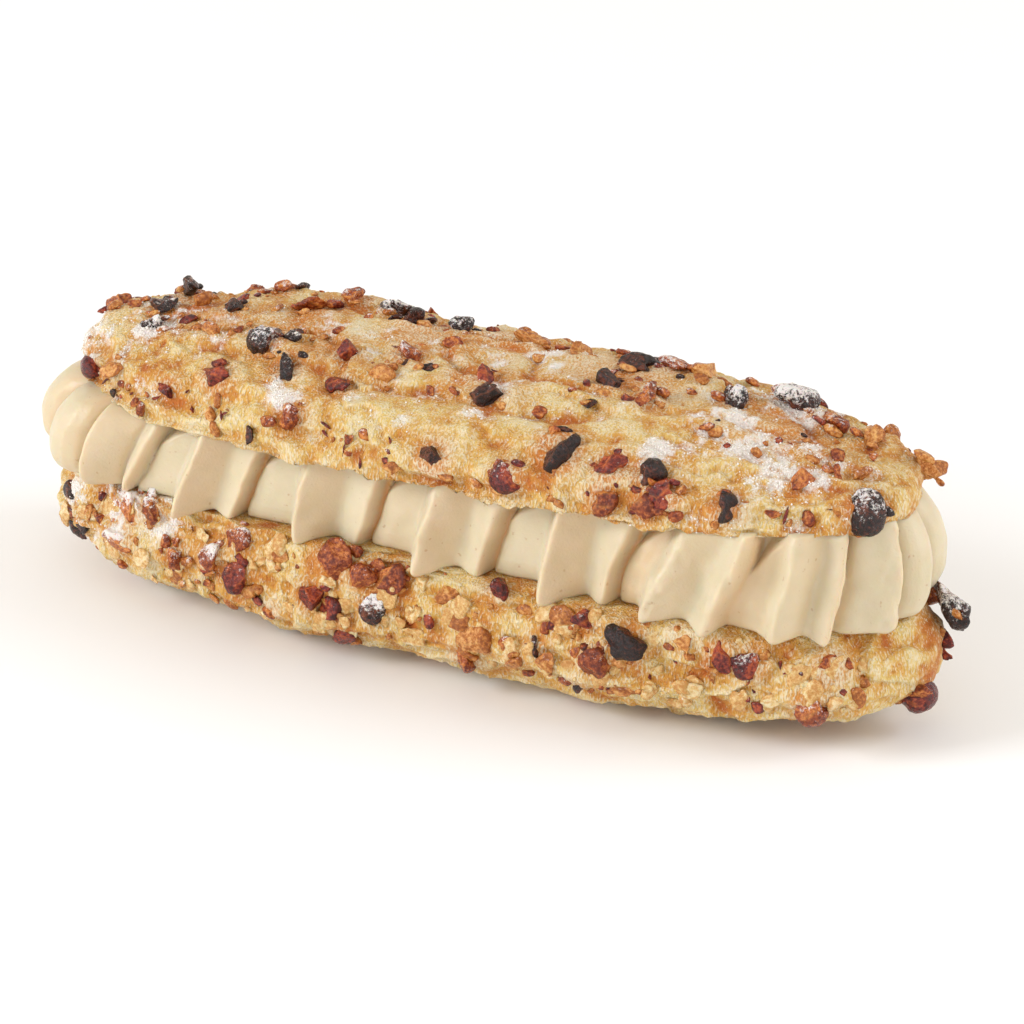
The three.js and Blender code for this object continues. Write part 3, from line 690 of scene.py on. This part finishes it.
LID_LARGE_NUTS = [
    (-59.5, 17, 5, "plum", 0),
    (-53, 24, 4.5, "amber", 0.1),
    (-62, 40, 3.5, "amber", 0.3),
    (-62, 110, 5.5, "red", 0.1),
    (-52, 84, 5.5, "dark", 0.4),
    (-51.5, 108, 5.5, "dark", 0.3, 0.3),
    (-51, 68, 4.5, "dark", 0.9),
    (-40, 84, 4.5, "dark", 0),
    (-31, 68, 7, "dark", 0.5),
    (-26, 54, 5.5, "dark", 0.3),
    (-35.5, 37, 5, "plum", 0),
    (-30, 95, 6, "red", 0.1),
    (-17.5, 52, 4, "plum", 0.1),
    (-12, 62, 5, "amber", 0),
    (-15.5, 102, 6, "dark", 0.1),
    (-11, 80, 5.5, "red", 0.5),
    (2, 74, 4.5, "plum", 0),
    (4.5, 62, 5.5, "dark", 0.1),
    (1, 17, 5.5, "dark", 0),
    (13, 15, 5.5, "plum", 0.4),
    (19, 36, 8, "dark", 0),
    (27, 33, 5.5, "plum", 0),
    (32.5, 32, 5.5, "dark", 0),
    (35.5, 22, 5.5, "plum", 0.1),
    (27, 11, 5, "red", 0),
    (33, 12, 4.5, "red", 0),
    (19.5, 104, 6.5, "dark", 0.1),
    (19, 86, 5, "dark", 0),
    (26, 80, 5.5, "red", 0.4),
    (36.5, 92, 6, "dark", 0.6),
    (44, 17, 4.5, "dark", 0),
    (61, 20, 7, "dark", 0.5, -0.14, 0.25),
    (62.5, 150, 6, "amber", 0.1, 0.3),
    (-26, 108, 6, "red", 0.4),
    (-19.5, 110, 6, "dark", 0.6),
    (-8.5, 106, 5, "dark", 0.4),
    (2, 108, 5.5, "amber", 0),
    (9.5, 106, 5.5, "amber", 0),
    (24.5, 108, 6, "red", 0.5),
    (29.5, 106, 5.5, "amber", 0),
    (43, 108, 7, "dark", 0.8),
    (50, 104, 5.5, "red", 0.4),
    (56, 104, 5, "amber", 0.1),
]
LID_SMALL_NUTS = 42
LID_NUT_BAND = (8, 172)
# Patches of icing sugar, as [place along x, degrees up from the widest line of the front, radius,
# strength]
LID_SUGAR = [(45, 70, 6, 1), (49, 49, 5, 1), (43.5, 108, 6, 1), (38, 75, 5, 0.9), (32, 46, 3.5, 0.9),
             (-25, 31, 3.5, 0.8), (-51, 66, 5, 1), (-61, 60, 5, 0.8), (-24, 85, 5, 0.8), (-16, 75, 3, 0.8),
             (7, 55, 3, 0.7), (54, 60, 4, 0.9), (8, 95, 5, 0.8), (-56, 85, 5, 0.8),
             (44, 66, 17, 0.42), (-45, 72, 18, 0.4), (0, 88, 26, 0.36)]

lid_nuts = LID_LARGE_NUTS + small_nuts(LID, LID_SMALL_NUTS, LID_NUT_BAND, LID_LARGE_NUTS)
lid, point, outward, crag, browned_and_shaded = raised_crust("choux_lid_crust", LID, LID_SEEN, lid_nuts)
ragged = sum(tear * lumps(point, size, seed) for size, tear, seed in EDGE_TEARS)
under = LID_UNDERSIDE + LID["slope"] * point[:, 0] - LID_EDGE_DROP + RAGGED_HEIGHT * ragged
point[:, 2] = -soft_lower(-point[:, 2], -under, LID_EDGE_ROUNDING)
sugar = np.zeros(len(point))
broken = 1 + PATCH_BREAK * lumps(point, PATCH_BREAK_SIZE, 17)
for x, degrees_up, radius, strength in LID_SUGAR:
    apart = np.linalg.norm(point - on_crust(LID, x, degrees_up)[0], axis=1)
    sugar = np.maximum(sugar, strength * np.exp(-((broken * apart / radius) ** 2)))
sugar = powder(point, sugar)
sugared.append((point, outward, sugar))
patches = CROWN_PATCH_LEVEL + CROWN_PATCH_CONTRAST * lumps(point, CROWN_PATCH_SIZE, 29)
crown = ease(outward[:, 2], CROWN_FROM, CROWN_TO) * np.clip(patches, 0, 1)
# How near the cut edge the crust is; there it is tinted darker orange
rim = np.exp(-np.maximum(0, point[:, 2] - under) / ORANGE_FADE_REACH)
# Browning and painted shade beside the nuts, the darker orange near the cut edge, or toasting on the crown,
# whichever is strongest
toast = np.maximum(np.maximum(browned_and_shaded, CUT_EDGE_TINT * rim), CROWN_TOAST * crown)
write_mesh(lid, point, crag=crag, toast=toast, sugar=sugar)
turn_outward()
lid.data.materials.append(choux)
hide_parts("choux_lid")
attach(lid, "root")


# Chopped nuts
# Roasted hazelnuts, chopped and caramelised in the oven, half sunk in the crust of the base and the lid.
# Some show dark skin, some red-brown caramel and some bare golden flesh, and some are dusted with sugar.
NUT_THICKNESS = (0.4, 0.85)
NUT_BREADTH = (0.55, 0.95)
NUT_SHRINKAGE = 0.95
# How far a nut's middle lies above the crust: a share of its length on the crown, and a little anywhere
NUT_LIFT, CROWN_HALF_ANGLE, NUT_SEAT = 0.1, 22, 0.3

# Breaks of a nut: how many, how deep, how sharp where two meet, and how ragged. Skin has wrinkles, grit and
# notches, as sizes and heights.
NUT_FACETS = 8
BREAK_DEPTH, BREAK_VARIATION, NUT_EDGE = 0.6, 0.5, 130
RAGGED_BREAK_SIZE, RAGGED_BREAK = 0.45, 0.1
WRINKLE_SIZE, WRINKLE_HEIGHT = 1.1, 0.1
GRIT_SIZE, GRIT_HEIGHT = 0.5, 0.07
NOTCH_SIZE, NOTCH_DEPTH, NOTCH_FROM = 2.1, 1.1, 0.15
EDGE_GLOW_WIDTH = 0.05
LEAST_DUSTING = 0.22

# Sizes of the patterns on the nuts
STREAK_SIZE, NUT_DUST_SIZE = 0.55, 0.7

# Kinds of nut: name, three colours from dark to light, and the colour of a thin edge, a painted glow of
# light shining through it
NUT_KINDS = {
    "dark": ("roasted_nut_skin", ["#120705", "#311611", "#6a3524"], "#94502a"),
    "plum": ("plum_red_nut", ["#3c0d0e", "#74221b", "#b04e2c"], "#dc7a30"),
    "red": ("caramelised_nut", ["#62200c", "#9c481d", "#d28440"], "#e6a04c"),
    "amber": ("golden_nut", ["#8c4a1a", "#bd7430", "#e0ab66"], "#ecbd76"),
    "pale": ("bare_nut", ["#c48a46", "#ddb574", "#f0dcb0"], "#e8c48a"),
}
# The kinds of the broken bits that lie against a large nut of each kind
NUT_COMPANY = {"dark": ["dark", "red", "amber"], "plum": ["plum", "red", "amber"],
               "red": ["red", "plum", "amber"], "amber": ["amber", "red", "amber"]}
BITS_BESIDE_NUT = 3
# The shape of these bits and their sugar, and, as shares of the nut's length or of their own, how long they
# are, how far from its middle and how deep they lie
BIT_SHAPE, BIT_SUGAR = np.array([1, 0.65, 0.5]), 0.7
BIT_LEAST, BIT_VARIATION = 0.32, 0.28
BIT_AWAY, BIT_AWAY_OWN, BIT_SINK = 0.3, 0.25, 0.1

# Crumbs of nut and threads of skin between the large ones, as [shell, count, lowest and highest angle]
NUT_CRUMBS = [(BASE, 110, -26, 27), (BASE, 60, 153, 206), (LID, 55, 4, 24), (LID, 270, 60, 172)]
NUT_THREADS = [(BASE, 16, -20, 25), (BASE, 8, 155, 200), (LID, 22, 4, 24), (LID, 14, 60, 176)]
CRUMB_LEAST, CRUMB_MOST, CRUMB_POWER = 0.9, 3.2, 1.5
CRUMB_SHAPE, CRUMB_LIFT, CRUMB_SUGAR = np.array([1, 0.7, 0.45]), 0.06, 0.4
LID_CRUMB_KINDS = ["amber", "red", "amber", "plum", "red", "amber", "dark", "red"]
BASE_CRUMB_KINDS = ["amber", "pale", "amber", "red", "pale", "amber", "plum", "red"]
THREAD_LEAST, THREAD_MOST = 1, 2.6
THREAD_WIDTH, THREAD_THICKNESS, THREAD_LIFT = 0.5, 0.35, 0.15
# Golden chips baked into the base, flush with its crust, as [shell, count, lowest and highest angle]
GOLDEN_CHIPS = [(BASE, 110, -26, 25), (BASE, 50, 155, 206)]
GOLDEN_LEAST, GOLDEN_MOST, GOLDEN_POWER = 2, 5.5, 1.3
GOLDEN_SHAPE, GOLDEN_LIFT, GOLDEN_SINK, GOLDEN_SUGAR = np.array([1, 0.8, 0.28]), 0.5, 0.1, 0.2
AMBER_CHIP_EVERY = 4
# The seed of the first one of each, and the share of the shell's length that they lie on
FIRST_CRUMB, FIRST_THREAD, FIRST_CHIP = 7000, 9000, 15000
CRUMB_SPAN, THREAD_SPAN = 0.93, 0.92

# Longer nuts have finer meshes, and have bits beside them.
FINE_NUT_FROM, BITS_FROM, PLAIN_CHIP_FROM, CRUMB_FROM = 5.4, 4.4, 3.4, 1.5


def ball_of(subdivisions):
    """The directions and the facets of a ball made of even triangles."""
    bpy.ops.object.select_all(action="DESELECT")
    bpy.ops.mesh.primitive_ico_sphere_add(subdivisions=subdivisions, radius=1)
    pattern = bpy.context.object
    direction = np.array([v.co for v in pattern.data.vertices])
    facets = np.array([p.vertices for p in pattern.data.polygons])
    bpy.data.objects.remove(pattern)
    return direction / np.linalg.norm(direction, axis=1)[:, None], facets


def nut_chip(seed, sizes, ball, broken=1):
    """One piece of nut about its own middle, with flat breaks, how bare they are and where they meet."""
    facet = np.arange(NUT_FACETS)
    upright = 2 * chance(seed, facet, 11) - 1
    turn = 2 * math.pi * chance(seed, facet, 12)
    level = np.sqrt(1 - upright ** 2)
    normal = np.stack([level * np.cos(turn), level * np.sin(turn), upright], axis=1)
    reach = 1 - broken * (BREAK_DEPTH - BREAK_VARIATION * chance(seed, facet, 13))
    fray = np.stack([lumps(ball + seed, RAGGED_BREAK_SIZE, n) for n in (5, 6, 7)], axis=1)
    ragged = ball + RAGGED_BREAK * fray
    cut = np.minimum(reach / np.maximum(ragged @ normal.T, 0.05), 2)
    radius = -np.log(np.exp(-NUT_EDGE * cut).sum(axis=1) + math.exp(-NUT_EDGE * 1.05)) / NUT_EDGE
    chip = ball * radius[:, None] * sizes / 2
    rough = WRINKLE_HEIGHT * np.abs(lumps(chip + seed, WRINKLE_SIZE, 3))
    rough += GRIT_HEIGHT * lumps(chip + seed, GRIT_SIZE, 4)
    rough -= NOTCH_DEPTH * broken * np.maximum(0, lumps(chip + seed, NOTCH_SIZE, 8) - NOTCH_FROM)
    nearest = np.sort(cut, axis=1)
    bare = np.where(nearest[:, 0] < 1, chance(seed, cut.argmin(axis=1), 14), 0)
    bare = np.clip(bare + 0.6 * chance(seed, 0, 15) - 0.3, 0, 1)
    # Where two breaks meet the nut is thin, and there it gets a painted glow of light shining through
    edge = np.where(nearest[:, 0] < 1, np.exp(-(nearest[:, 1] - nearest[:, 0]) / EDGE_GLOW_WIDTH), 0)
    return chip + ball * (rough * min(1, sizes[0] / 4))[:, None], bare, edge


def set_on(shell, x, degrees_up, chip, spin, lift):
    """A piece of nut turned and laid on the crust."""
    place, outward = on_crust(shell, x, degrees_up)
    up = outward[0]
    cosine, sine = math.cos(spin), math.sin(spin)
    turned = chip @ np.array([[cosine, sine, 0], [-sine, cosine, 0], [0, 0, 1]])
    side = np.cross([0, 0, 1], up)
    cross = np.array([[0, -side[2], side[1]], [side[2], 0, -side[0]], [-side[1], side[0], 0]])
    return turned @ (np.eye(3) + cross + cross @ cross / (1 + up[2])).T + place + up * lift


def lay_on(shell, x, degrees_up, chip, spin, lift):
    """A small crumb laid on the torn relief of the crust."""
    place, _ = on_crust(shell, x, degrees_up)
    return set_on(shell, x, degrees_up, chip, spin, lift + fine_relief(place, shell["seed"])[0])


def nut_material(name, colours, edge_glow_colour):
    """A broken nut: wrinkled skin, paler breaks, a wet shine of caramel, a painted glow of light through
    its thin edges, and sugar here and there.
    """
    material, tree = new_material(name)
    place = add_node(tree, "ShaderNodeTexCoord").outputs["Object"]
    bare, edge, sugar = (add_node(tree, "ShaderNodeAttribute", attribute_name=stored).outputs["Fac"]
                         for stored in ("bare", "edge", "sugar"))
    streak = add_node(tree, "ShaderNodeTexNoise", {"Vector": place, "Scale": 1 / (STREAK_SIZE * MM),
                                                   "Detail": 5, "Roughness": 0.7}).outputs["Fac"]
    stretched = add_node(tree, "ShaderNodeMath", {0: streak, 1: 3, 2: -1.2}, operation="MULTIPLY_ADD")
    tone = add_node(tree, "ShaderNodeMath", {0: bare, 1: 0.5, 2: stretched.outputs[0]},
                    operation="MULTIPLY_ADD")
    skin = add_node(tree, "ShaderNodeValToRGB", {"Fac": tone.outputs[0]}, stops=[
        (0.1, colours[0]), (0.95, colours[2]), (0.52, colours[1])])
    # Painted glow: thin edges mix towards a lighter orange, as if lit through
    thin = add_node(tree, "ShaderNodeMath", {0: edge, 1: streak}, operation="MULTIPLY")
    glow = add_node(tree, "ShaderNodeMix", {0: thin.outputs[0], 6: skin.outputs["Color"],
                                            7: srgb(edge_glow_colour)}, data_type="RGBA")
    dust = add_node(tree, "ShaderNodeTexNoise", {"Vector": place, "Scale": 1 / (NUT_DUST_SIZE * MM),
                                                 "Detail": 4, "Roughness": 0.8}).outputs["Fac"]
    heaped = add_node(tree, "ShaderNodeMath", {0: sugar, 1: 0.42, 2: dust}, operation="MULTIPLY_ADD")
    white = add_node(tree, "ShaderNodeMapRange", {"Value": heaped.outputs[0], "From Min": 0.74,
                                                  "From Max": 0.86, "To Max": 0.92}).outputs[0]
    colour = add_node(tree, "ShaderNodeMix", {0: white, 6: glow.outputs[2], 7: srgb("#f1edea")},
                      data_type="RGBA")
    rough = add_node(tree, "ShaderNodeMapRange", {"Value": white, "To Min": 0.19, "To Max": 0.9}).outputs[0]
    bump = add_node(tree, "ShaderNodeBump", {"Height": streak, "Strength": 0.8, "Distance": 0.35 * MM})
    shader = add_node(tree, "ShaderNodeBsdfPrincipled", {
        "Base Color": colour.outputs[2], "Roughness": rough, "Normal": bump.outputs[0],
        "Subsurface Weight": 0.2, "Subsurface Radius": (1, 0.4, 0.15), "Subsurface Scale": 1 * MM,
        "Specular IOR Level": 0.42})
    add_node(tree, "ShaderNodeOutputMaterial", {"Surface": shader.outputs[0]})
    return material


def add_chip(heap, spot, facets, bare, edge, sugar):
    """Adds one placed piece of nut to the joined piece of its kind, with sugar on its upper side."""
    upper = np.clip((spot[:, 2] - spot[:, 2].mean()) / np.ptp(spot[:, 2]) + 0.5, 0, 1)
    heap["faces"].append(facets + sum(map(len, heap["spots"])))
    heap["spots"].append(spot)
    heap["bare"].append(bare)
    heap["edge"].append(edge)
    heap["sugar"].append((LEAST_DUSTING + sugar) * upper)


def strewn(bands, first, draw, span):
    """Bits strewn over bands of the crust: shell, seed, place along x, degrees up, size and spin.

    The size is from 0 to 1, and the span is the share of the shell's length that they lie on.
    """
    for shell, count, lowest, highest in bands:
        seeds = np.arange(count) + first + 300 * (lowest + 30)
        x = shell["middle"] + shell["length"] / 2 * (2 * span * chance(seeds, draw, 1) - span)
        degrees_up = lowest + (highest - lowest) * chance(seeds, draw, 2)
        spin = 2 * math.pi * chance(seeds, draw, 4)
        for n, seed in enumerate(seeds):
            yield shell, seed, x[n], degrees_up[n], chance(seed, draw, 3), spin[n]


def joined_piece(name, point, facets):
    """One mesh of many small things, from all their vertices and triangles."""
    mesh = bpy.data.meshes.new(name)
    mesh.vertices.add(len(point))
    mesh.loops.add(facets.size)
    mesh.polygons.add(len(facets))
    mesh.loops.foreach_set("vertex_index", facets.astype(np.int32).ravel())
    mesh.polygons.foreach_set("loop_start", np.arange(0, facets.size, 3, dtype=np.int32))
    mesh.update(calc_edges=True)
    piece = bpy.data.objects.new(name, mesh)
    bpy.context.scene.collection.objects.link(piece)
    return piece


heaps = {kind: dict(spots=[], faces=[], bare=[], edge=[], sugar=[]) for kind in NUT_KINDS}
fine, plain, small, tiny = (ball_of(subdivisions) for subdivisions in (5, 4, 3, 2))
for shell, nuts in ((BASE, base_nuts), (LID, lid_nuts)):
    for n, nut in enumerate(nuts):
        seed = n + 100 * shell["seed"]
        x, degrees_up, length, kind, sugar = nut[:5]
        breadth = NUT_BREADTH[0] + (NUT_BREADTH[1] - NUT_BREADTH[0]) * chance(seed, 0, 3)
        thick = NUT_THICKNESS[0] + (NUT_THICKNESS[1] - NUT_THICKNESS[0]) * chance(seed, 0, 2)
        sizes = NUT_SHRINKAGE * length * np.array([1, breadth, thick])
        ball, facets = fine if length > FINE_NUT_FROM else plain
        usual_lift = NUT_LIFT if abs(degrees_up - 90) < CROWN_HALF_ANGLE else 0
        lift = length * (nut[5] if len(nut) > 5 else usual_lift)
        broken = nut[6] if len(nut) > 6 else 1
        spin = 2 * math.pi * chance(seed, 0, 4)
        chip, bare, edge = nut_chip(seed, sizes, ball, broken)
        spot = set_on(shell, x, degrees_up, chip, spin, lift + NUT_SEAT)
        add_chip(heaps[kind], spot, facets, bare, edge, sugar)
        ball, facets = small
        for bit in range(BITS_BESIDE_NUT if length > BITS_FROM else 0):
            turn = 2 * math.pi * (bit + chance(seed, bit, 21)) / BITS_BESIDE_NUT
            size = length * (BIT_LEAST + BIT_VARIATION * chance(seed, bit, 22))
            chip, bare, edge = nut_chip(seed + 131 * bit + 17, size * BIT_SHAPE, ball)
            away = BIT_AWAY * length + BIT_AWAY_OWN * size
            chip += away * np.array([math.cos(turn), math.sin(turn), 0])
            spot = set_on(shell, x, degrees_up, chip, 0, lift - BIT_SINK * size)
            add_chip(heaps[NUT_COMPANY[kind][bit]], spot, facets, bare, edge, BIT_SUGAR * sugar)
for shell, seed, x, degrees_up, size, spin in strewn(NUT_CRUMBS, FIRST_CRUMB, 1, CRUMB_SPAN):
    length = CRUMB_LEAST + (CRUMB_MOST - CRUMB_LEAST) * size ** CRUMB_POWER
    ball, facets = tiny if length < CRUMB_FROM else small
    chip, bare, edge = nut_chip(seed, length * CRUMB_SHAPE, ball)
    spot = lay_on(shell, x, degrees_up, chip, spin, CRUMB_LIFT * length)
    kinds = LID_CRUMB_KINDS if shell is LID else BASE_CRUMB_KINDS
    kind = kinds[int(len(kinds) * chance(seed, 1, 5))]
    add_chip(heaps[kind], spot, facets, bare, edge, CRUMB_SUGAR * chance(seed, 1, 6))
for shell, seed, x, degrees_up, size, spin in strewn(NUT_THREADS, FIRST_THREAD, 2, THREAD_SPAN):
    length = THREAD_LEAST + (THREAD_MOST - THREAD_LEAST) * size
    ball, facets = small
    chip, bare, edge = nut_chip(seed, np.array([length, THREAD_WIDTH, THREAD_THICKNESS]), ball)
    spot = lay_on(shell, x, degrees_up, chip, spin, THREAD_LIFT)
    add_chip(heaps["plum"], spot, facets, 0.4 * bare, 0.5 * edge, 0)
for shell, seed, x, degrees_up, size, spin in strewn(GOLDEN_CHIPS, FIRST_CHIP, 3, CRUMB_SPAN):
    length = GOLDEN_LEAST + (GOLDEN_MOST - GOLDEN_LEAST) * size ** GOLDEN_POWER
    ball, facets = plain if length > PLAIN_CHIP_FROM else small
    chip, bare, edge = nut_chip(seed, length * GOLDEN_SHAPE, ball)
    spot = lay_on(shell, x, degrees_up, chip, spin, GOLDEN_LIFT - GOLDEN_SINK * length)
    kind = "pale" if seed % AMBER_CHIP_EVERY else "amber"
    add_chip(heaps[kind], spot, facets, bare, edge, GOLDEN_SUGAR * chance(seed, 3, 6))
for kind, (name, colours, edge_glow_colour) in NUT_KINDS.items():
    heap = {part: np.concatenate(values) for part, values in heaps[kind].items()}
    pieces = joined_piece(name + "_pieces", heap["spots"], heap["faces"])
    write_mesh(pieces, heap["spots"], bare=heap["bare"], edge=heap["edge"], sugar=heap["sugar"])
    pieces.data.materials.append(nut_material(name, colours, edge_glow_colour))
    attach(pieces, "root")


# Icing sugar
# Grains and small clots of icing sugar, sifted over the baked shell, that lie where the dusting is
# thickest. They are loose powder, held only by the rough crust, and matt white.
GRAIN_LEAST, GRAIN_MOST = 0.1, 0.34
# How likely a vertex of the crust carries a grain, how often it is tried, and how far a grain strays
GRAIN_SHARE, GRAIN_DRAWS, GRAIN_SPREAD = 0.5, 3, 0.5
POWDER_SIZE = 0.3


def sugar_material():
    """Icing sugar: matt and nearly white, a little greyer from clot to clot."""
    material, tree = new_material("icing_sugar")
    place = add_node(tree, "ShaderNodeTexCoord").outputs["Object"]
    cloud = add_node(tree, "ShaderNodeTexNoise", {"Vector": place,
                                                  "Scale": 1 / (POWDER_SIZE * MM)}).outputs["Fac"]
    tint = add_node(tree, "ShaderNodeValToRGB", {"Fac": cloud}, stops=[(0.3, "#efe9e2"), (0.7, "#fdfaf6")])
    shader = add_node(tree, "ShaderNodeBsdfPrincipled", {"Base Color": tint.outputs["Color"],
                                                         "Roughness": 0.95})
    add_node(tree, "ShaderNodeOutputMaterial", {"Surface": shader.outputs[0]})
    return material


grain_ball, grain_facets = ball_of(1)
grain_corner = np.arange(len(grain_ball))
grain_spots = []
for point, outward, sugar in sugared:
    for draw in range(GRAIN_DRAWS):
        n = np.flatnonzero(chance(np.arange(len(point)), draw, 71) < GRAIN_SHARE * sugar ** 3)
        size = GRAIN_LEAST + (GRAIN_MOST - GRAIN_LEAST) * chance(n, draw, 72) ** 3
        shift = GRAIN_SPREAD * np.stack([chance(n, draw, 76 + way) - 0.5 for way in range(3)], axis=1)
        shift -= outward[n] * (shift * outward[n]).sum(axis=1)[:, None]
        reach = size[:, None] * (0.35 + 0.3 * chance(n[:, None], grain_corner[None], 73))
        spot = (point[n] + shift + 0.1 * size[:, None] * outward[n])[:, None]
        grain_spots.append((spot + grain_ball[None] * reach[:, :, None]).reshape(-1, 3))
grain_spots = np.concatenate(grain_spots)
grain_firsts = np.arange(0, len(grain_spots), len(grain_ball))
grain_faces = (grain_facets[None] + grain_firsts[:, None, None]).reshape(-1, 3)
grains = joined_piece("icing_sugar_grains", grain_spots, grain_faces)
write_mesh(grains, grain_spots)
grains.data.materials.append(sugar_material())
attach(grains, "root")


# Floor, light and camera
# A pale tabletop, a large soft light from the upper left in front, a second one from behind on the right,
# a weak one in front, and a long lens from the front right.
TABLE_SIZE, TABLE_CLOUD_SIZE = 4000, 1000 / 3
VIEW_AZIMUTH, VIEW_ELEVATION = 28, 25
CAMERA_DISTANCE = 1000
AIM = (0, 0, 21)
AIM_PIXEL = (494, 497)
PICTURE = 1024
FOCAL_PIXELS = 7150
SENSOR = 36
LENS_CLEARANCE = 50
ROOM_COLOUR, ROOM_BRIGHTNESS = "#fff5e7", 0.73
# Lamps, as [name, place, size in metres, watts]
STUDIO_LIGHTS = [("key", (-720, -640, 520), 0.42, 7.7), ("rim", (850, 300, 520), 0.6, 5.2),
                 ("front", (380, -820, 130), 0.6, 1.3)]
LAMP_COLOUR = "#f1f6ff"


def table_material():
    """A pale painted tabletop: matt and almost white, so that soft shadows show on it."""
    material, tree = new_material("pale_table")
    place = add_node(tree, "ShaderNodeTexCoord").outputs["Object"]
    cloud = add_node(tree, "ShaderNodeTexNoise", {"Vector": place,
                                                  "Scale": 1 / (TABLE_CLOUD_SIZE * MM)}).outputs["Fac"]
    tint = add_node(tree, "ShaderNodeValToRGB", {"Fac": cloud}, stops=[(0, "#f8fafc"), (1, "#fdfeff")])
    shader = add_node(tree, "ShaderNodeBsdfPrincipled", {"Base Color": tint.outputs["Color"],
                                                         "Roughness": 0.8})
    add_node(tree, "ShaderNodeOutputMaterial", {"Surface": shader.outputs[0]})
    return material


bpy.ops.object.select_all(action="DESELECT")
bpy.ops.mesh.primitive_plane_add(size=TABLE_SIZE * MM)
floor = bpy.context.object
floor.name = "floor"
floor.data.materials.append(table_material())

azimuth, elevation = math.radians(VIEW_AZIMUTH), math.radians(VIEW_ELEVATION)
back = np.array([math.sin(azimuth) * math.cos(elevation), -math.cos(azimuth) * math.cos(elevation),
                 math.sin(elevation)])
camera_data = bpy.data.cameras.new("camera")
camera_data.lens = FOCAL_PIXELS / PICTURE * SENSOR
camera_data.sensor_width = SENSOR
camera_data.shift_x = (PICTURE / 2 - AIM_PIXEL[0]) / PICTURE
camera_data.shift_y = (AIM_PIXEL[1] - PICTURE / 2) / PICTURE
camera_data.clip_start = LENS_CLEARANCE * MM
camera = bpy.data.objects.new("camera", camera_data)
camera.location = (np.array(AIM) + back * CAMERA_DISTANCE) * MM
camera.rotation_euler = (math.pi / 2 - elevation, 0, azimuth)
bpy.context.scene.collection.objects.link(camera)
bpy.context.scene.camera = camera

world = bpy.data.worlds.new("studio")
world.use_nodes = True
world.node_tree.nodes["Background"].inputs["Color"].default_value = srgb(ROOM_COLOUR)
world.node_tree.nodes["Background"].inputs["Strength"].default_value = ROOM_BRIGHTNESS
bpy.context.scene.world = world
for name, spot, size, power in STUDIO_LIGHTS:
    lamp = bpy.data.lights.new(name, "AREA")
    lamp.size = size
    lamp.energy = power
    lamp.color = srgb(LAMP_COLOUR)[:3]
    light = bpy.data.objects.new(name, lamp)
    light.location = np.array(spot) * MM
    aim = np.array(AIM) * MM - np.array(light.location)
    light.rotation_euler = Vector(aim).to_track_quat("-Z", "Y").to_euler()
    bpy.context.scene.collection.objects.link(light)
bpy.context.scene.view_settings.view_transform = "Standard"
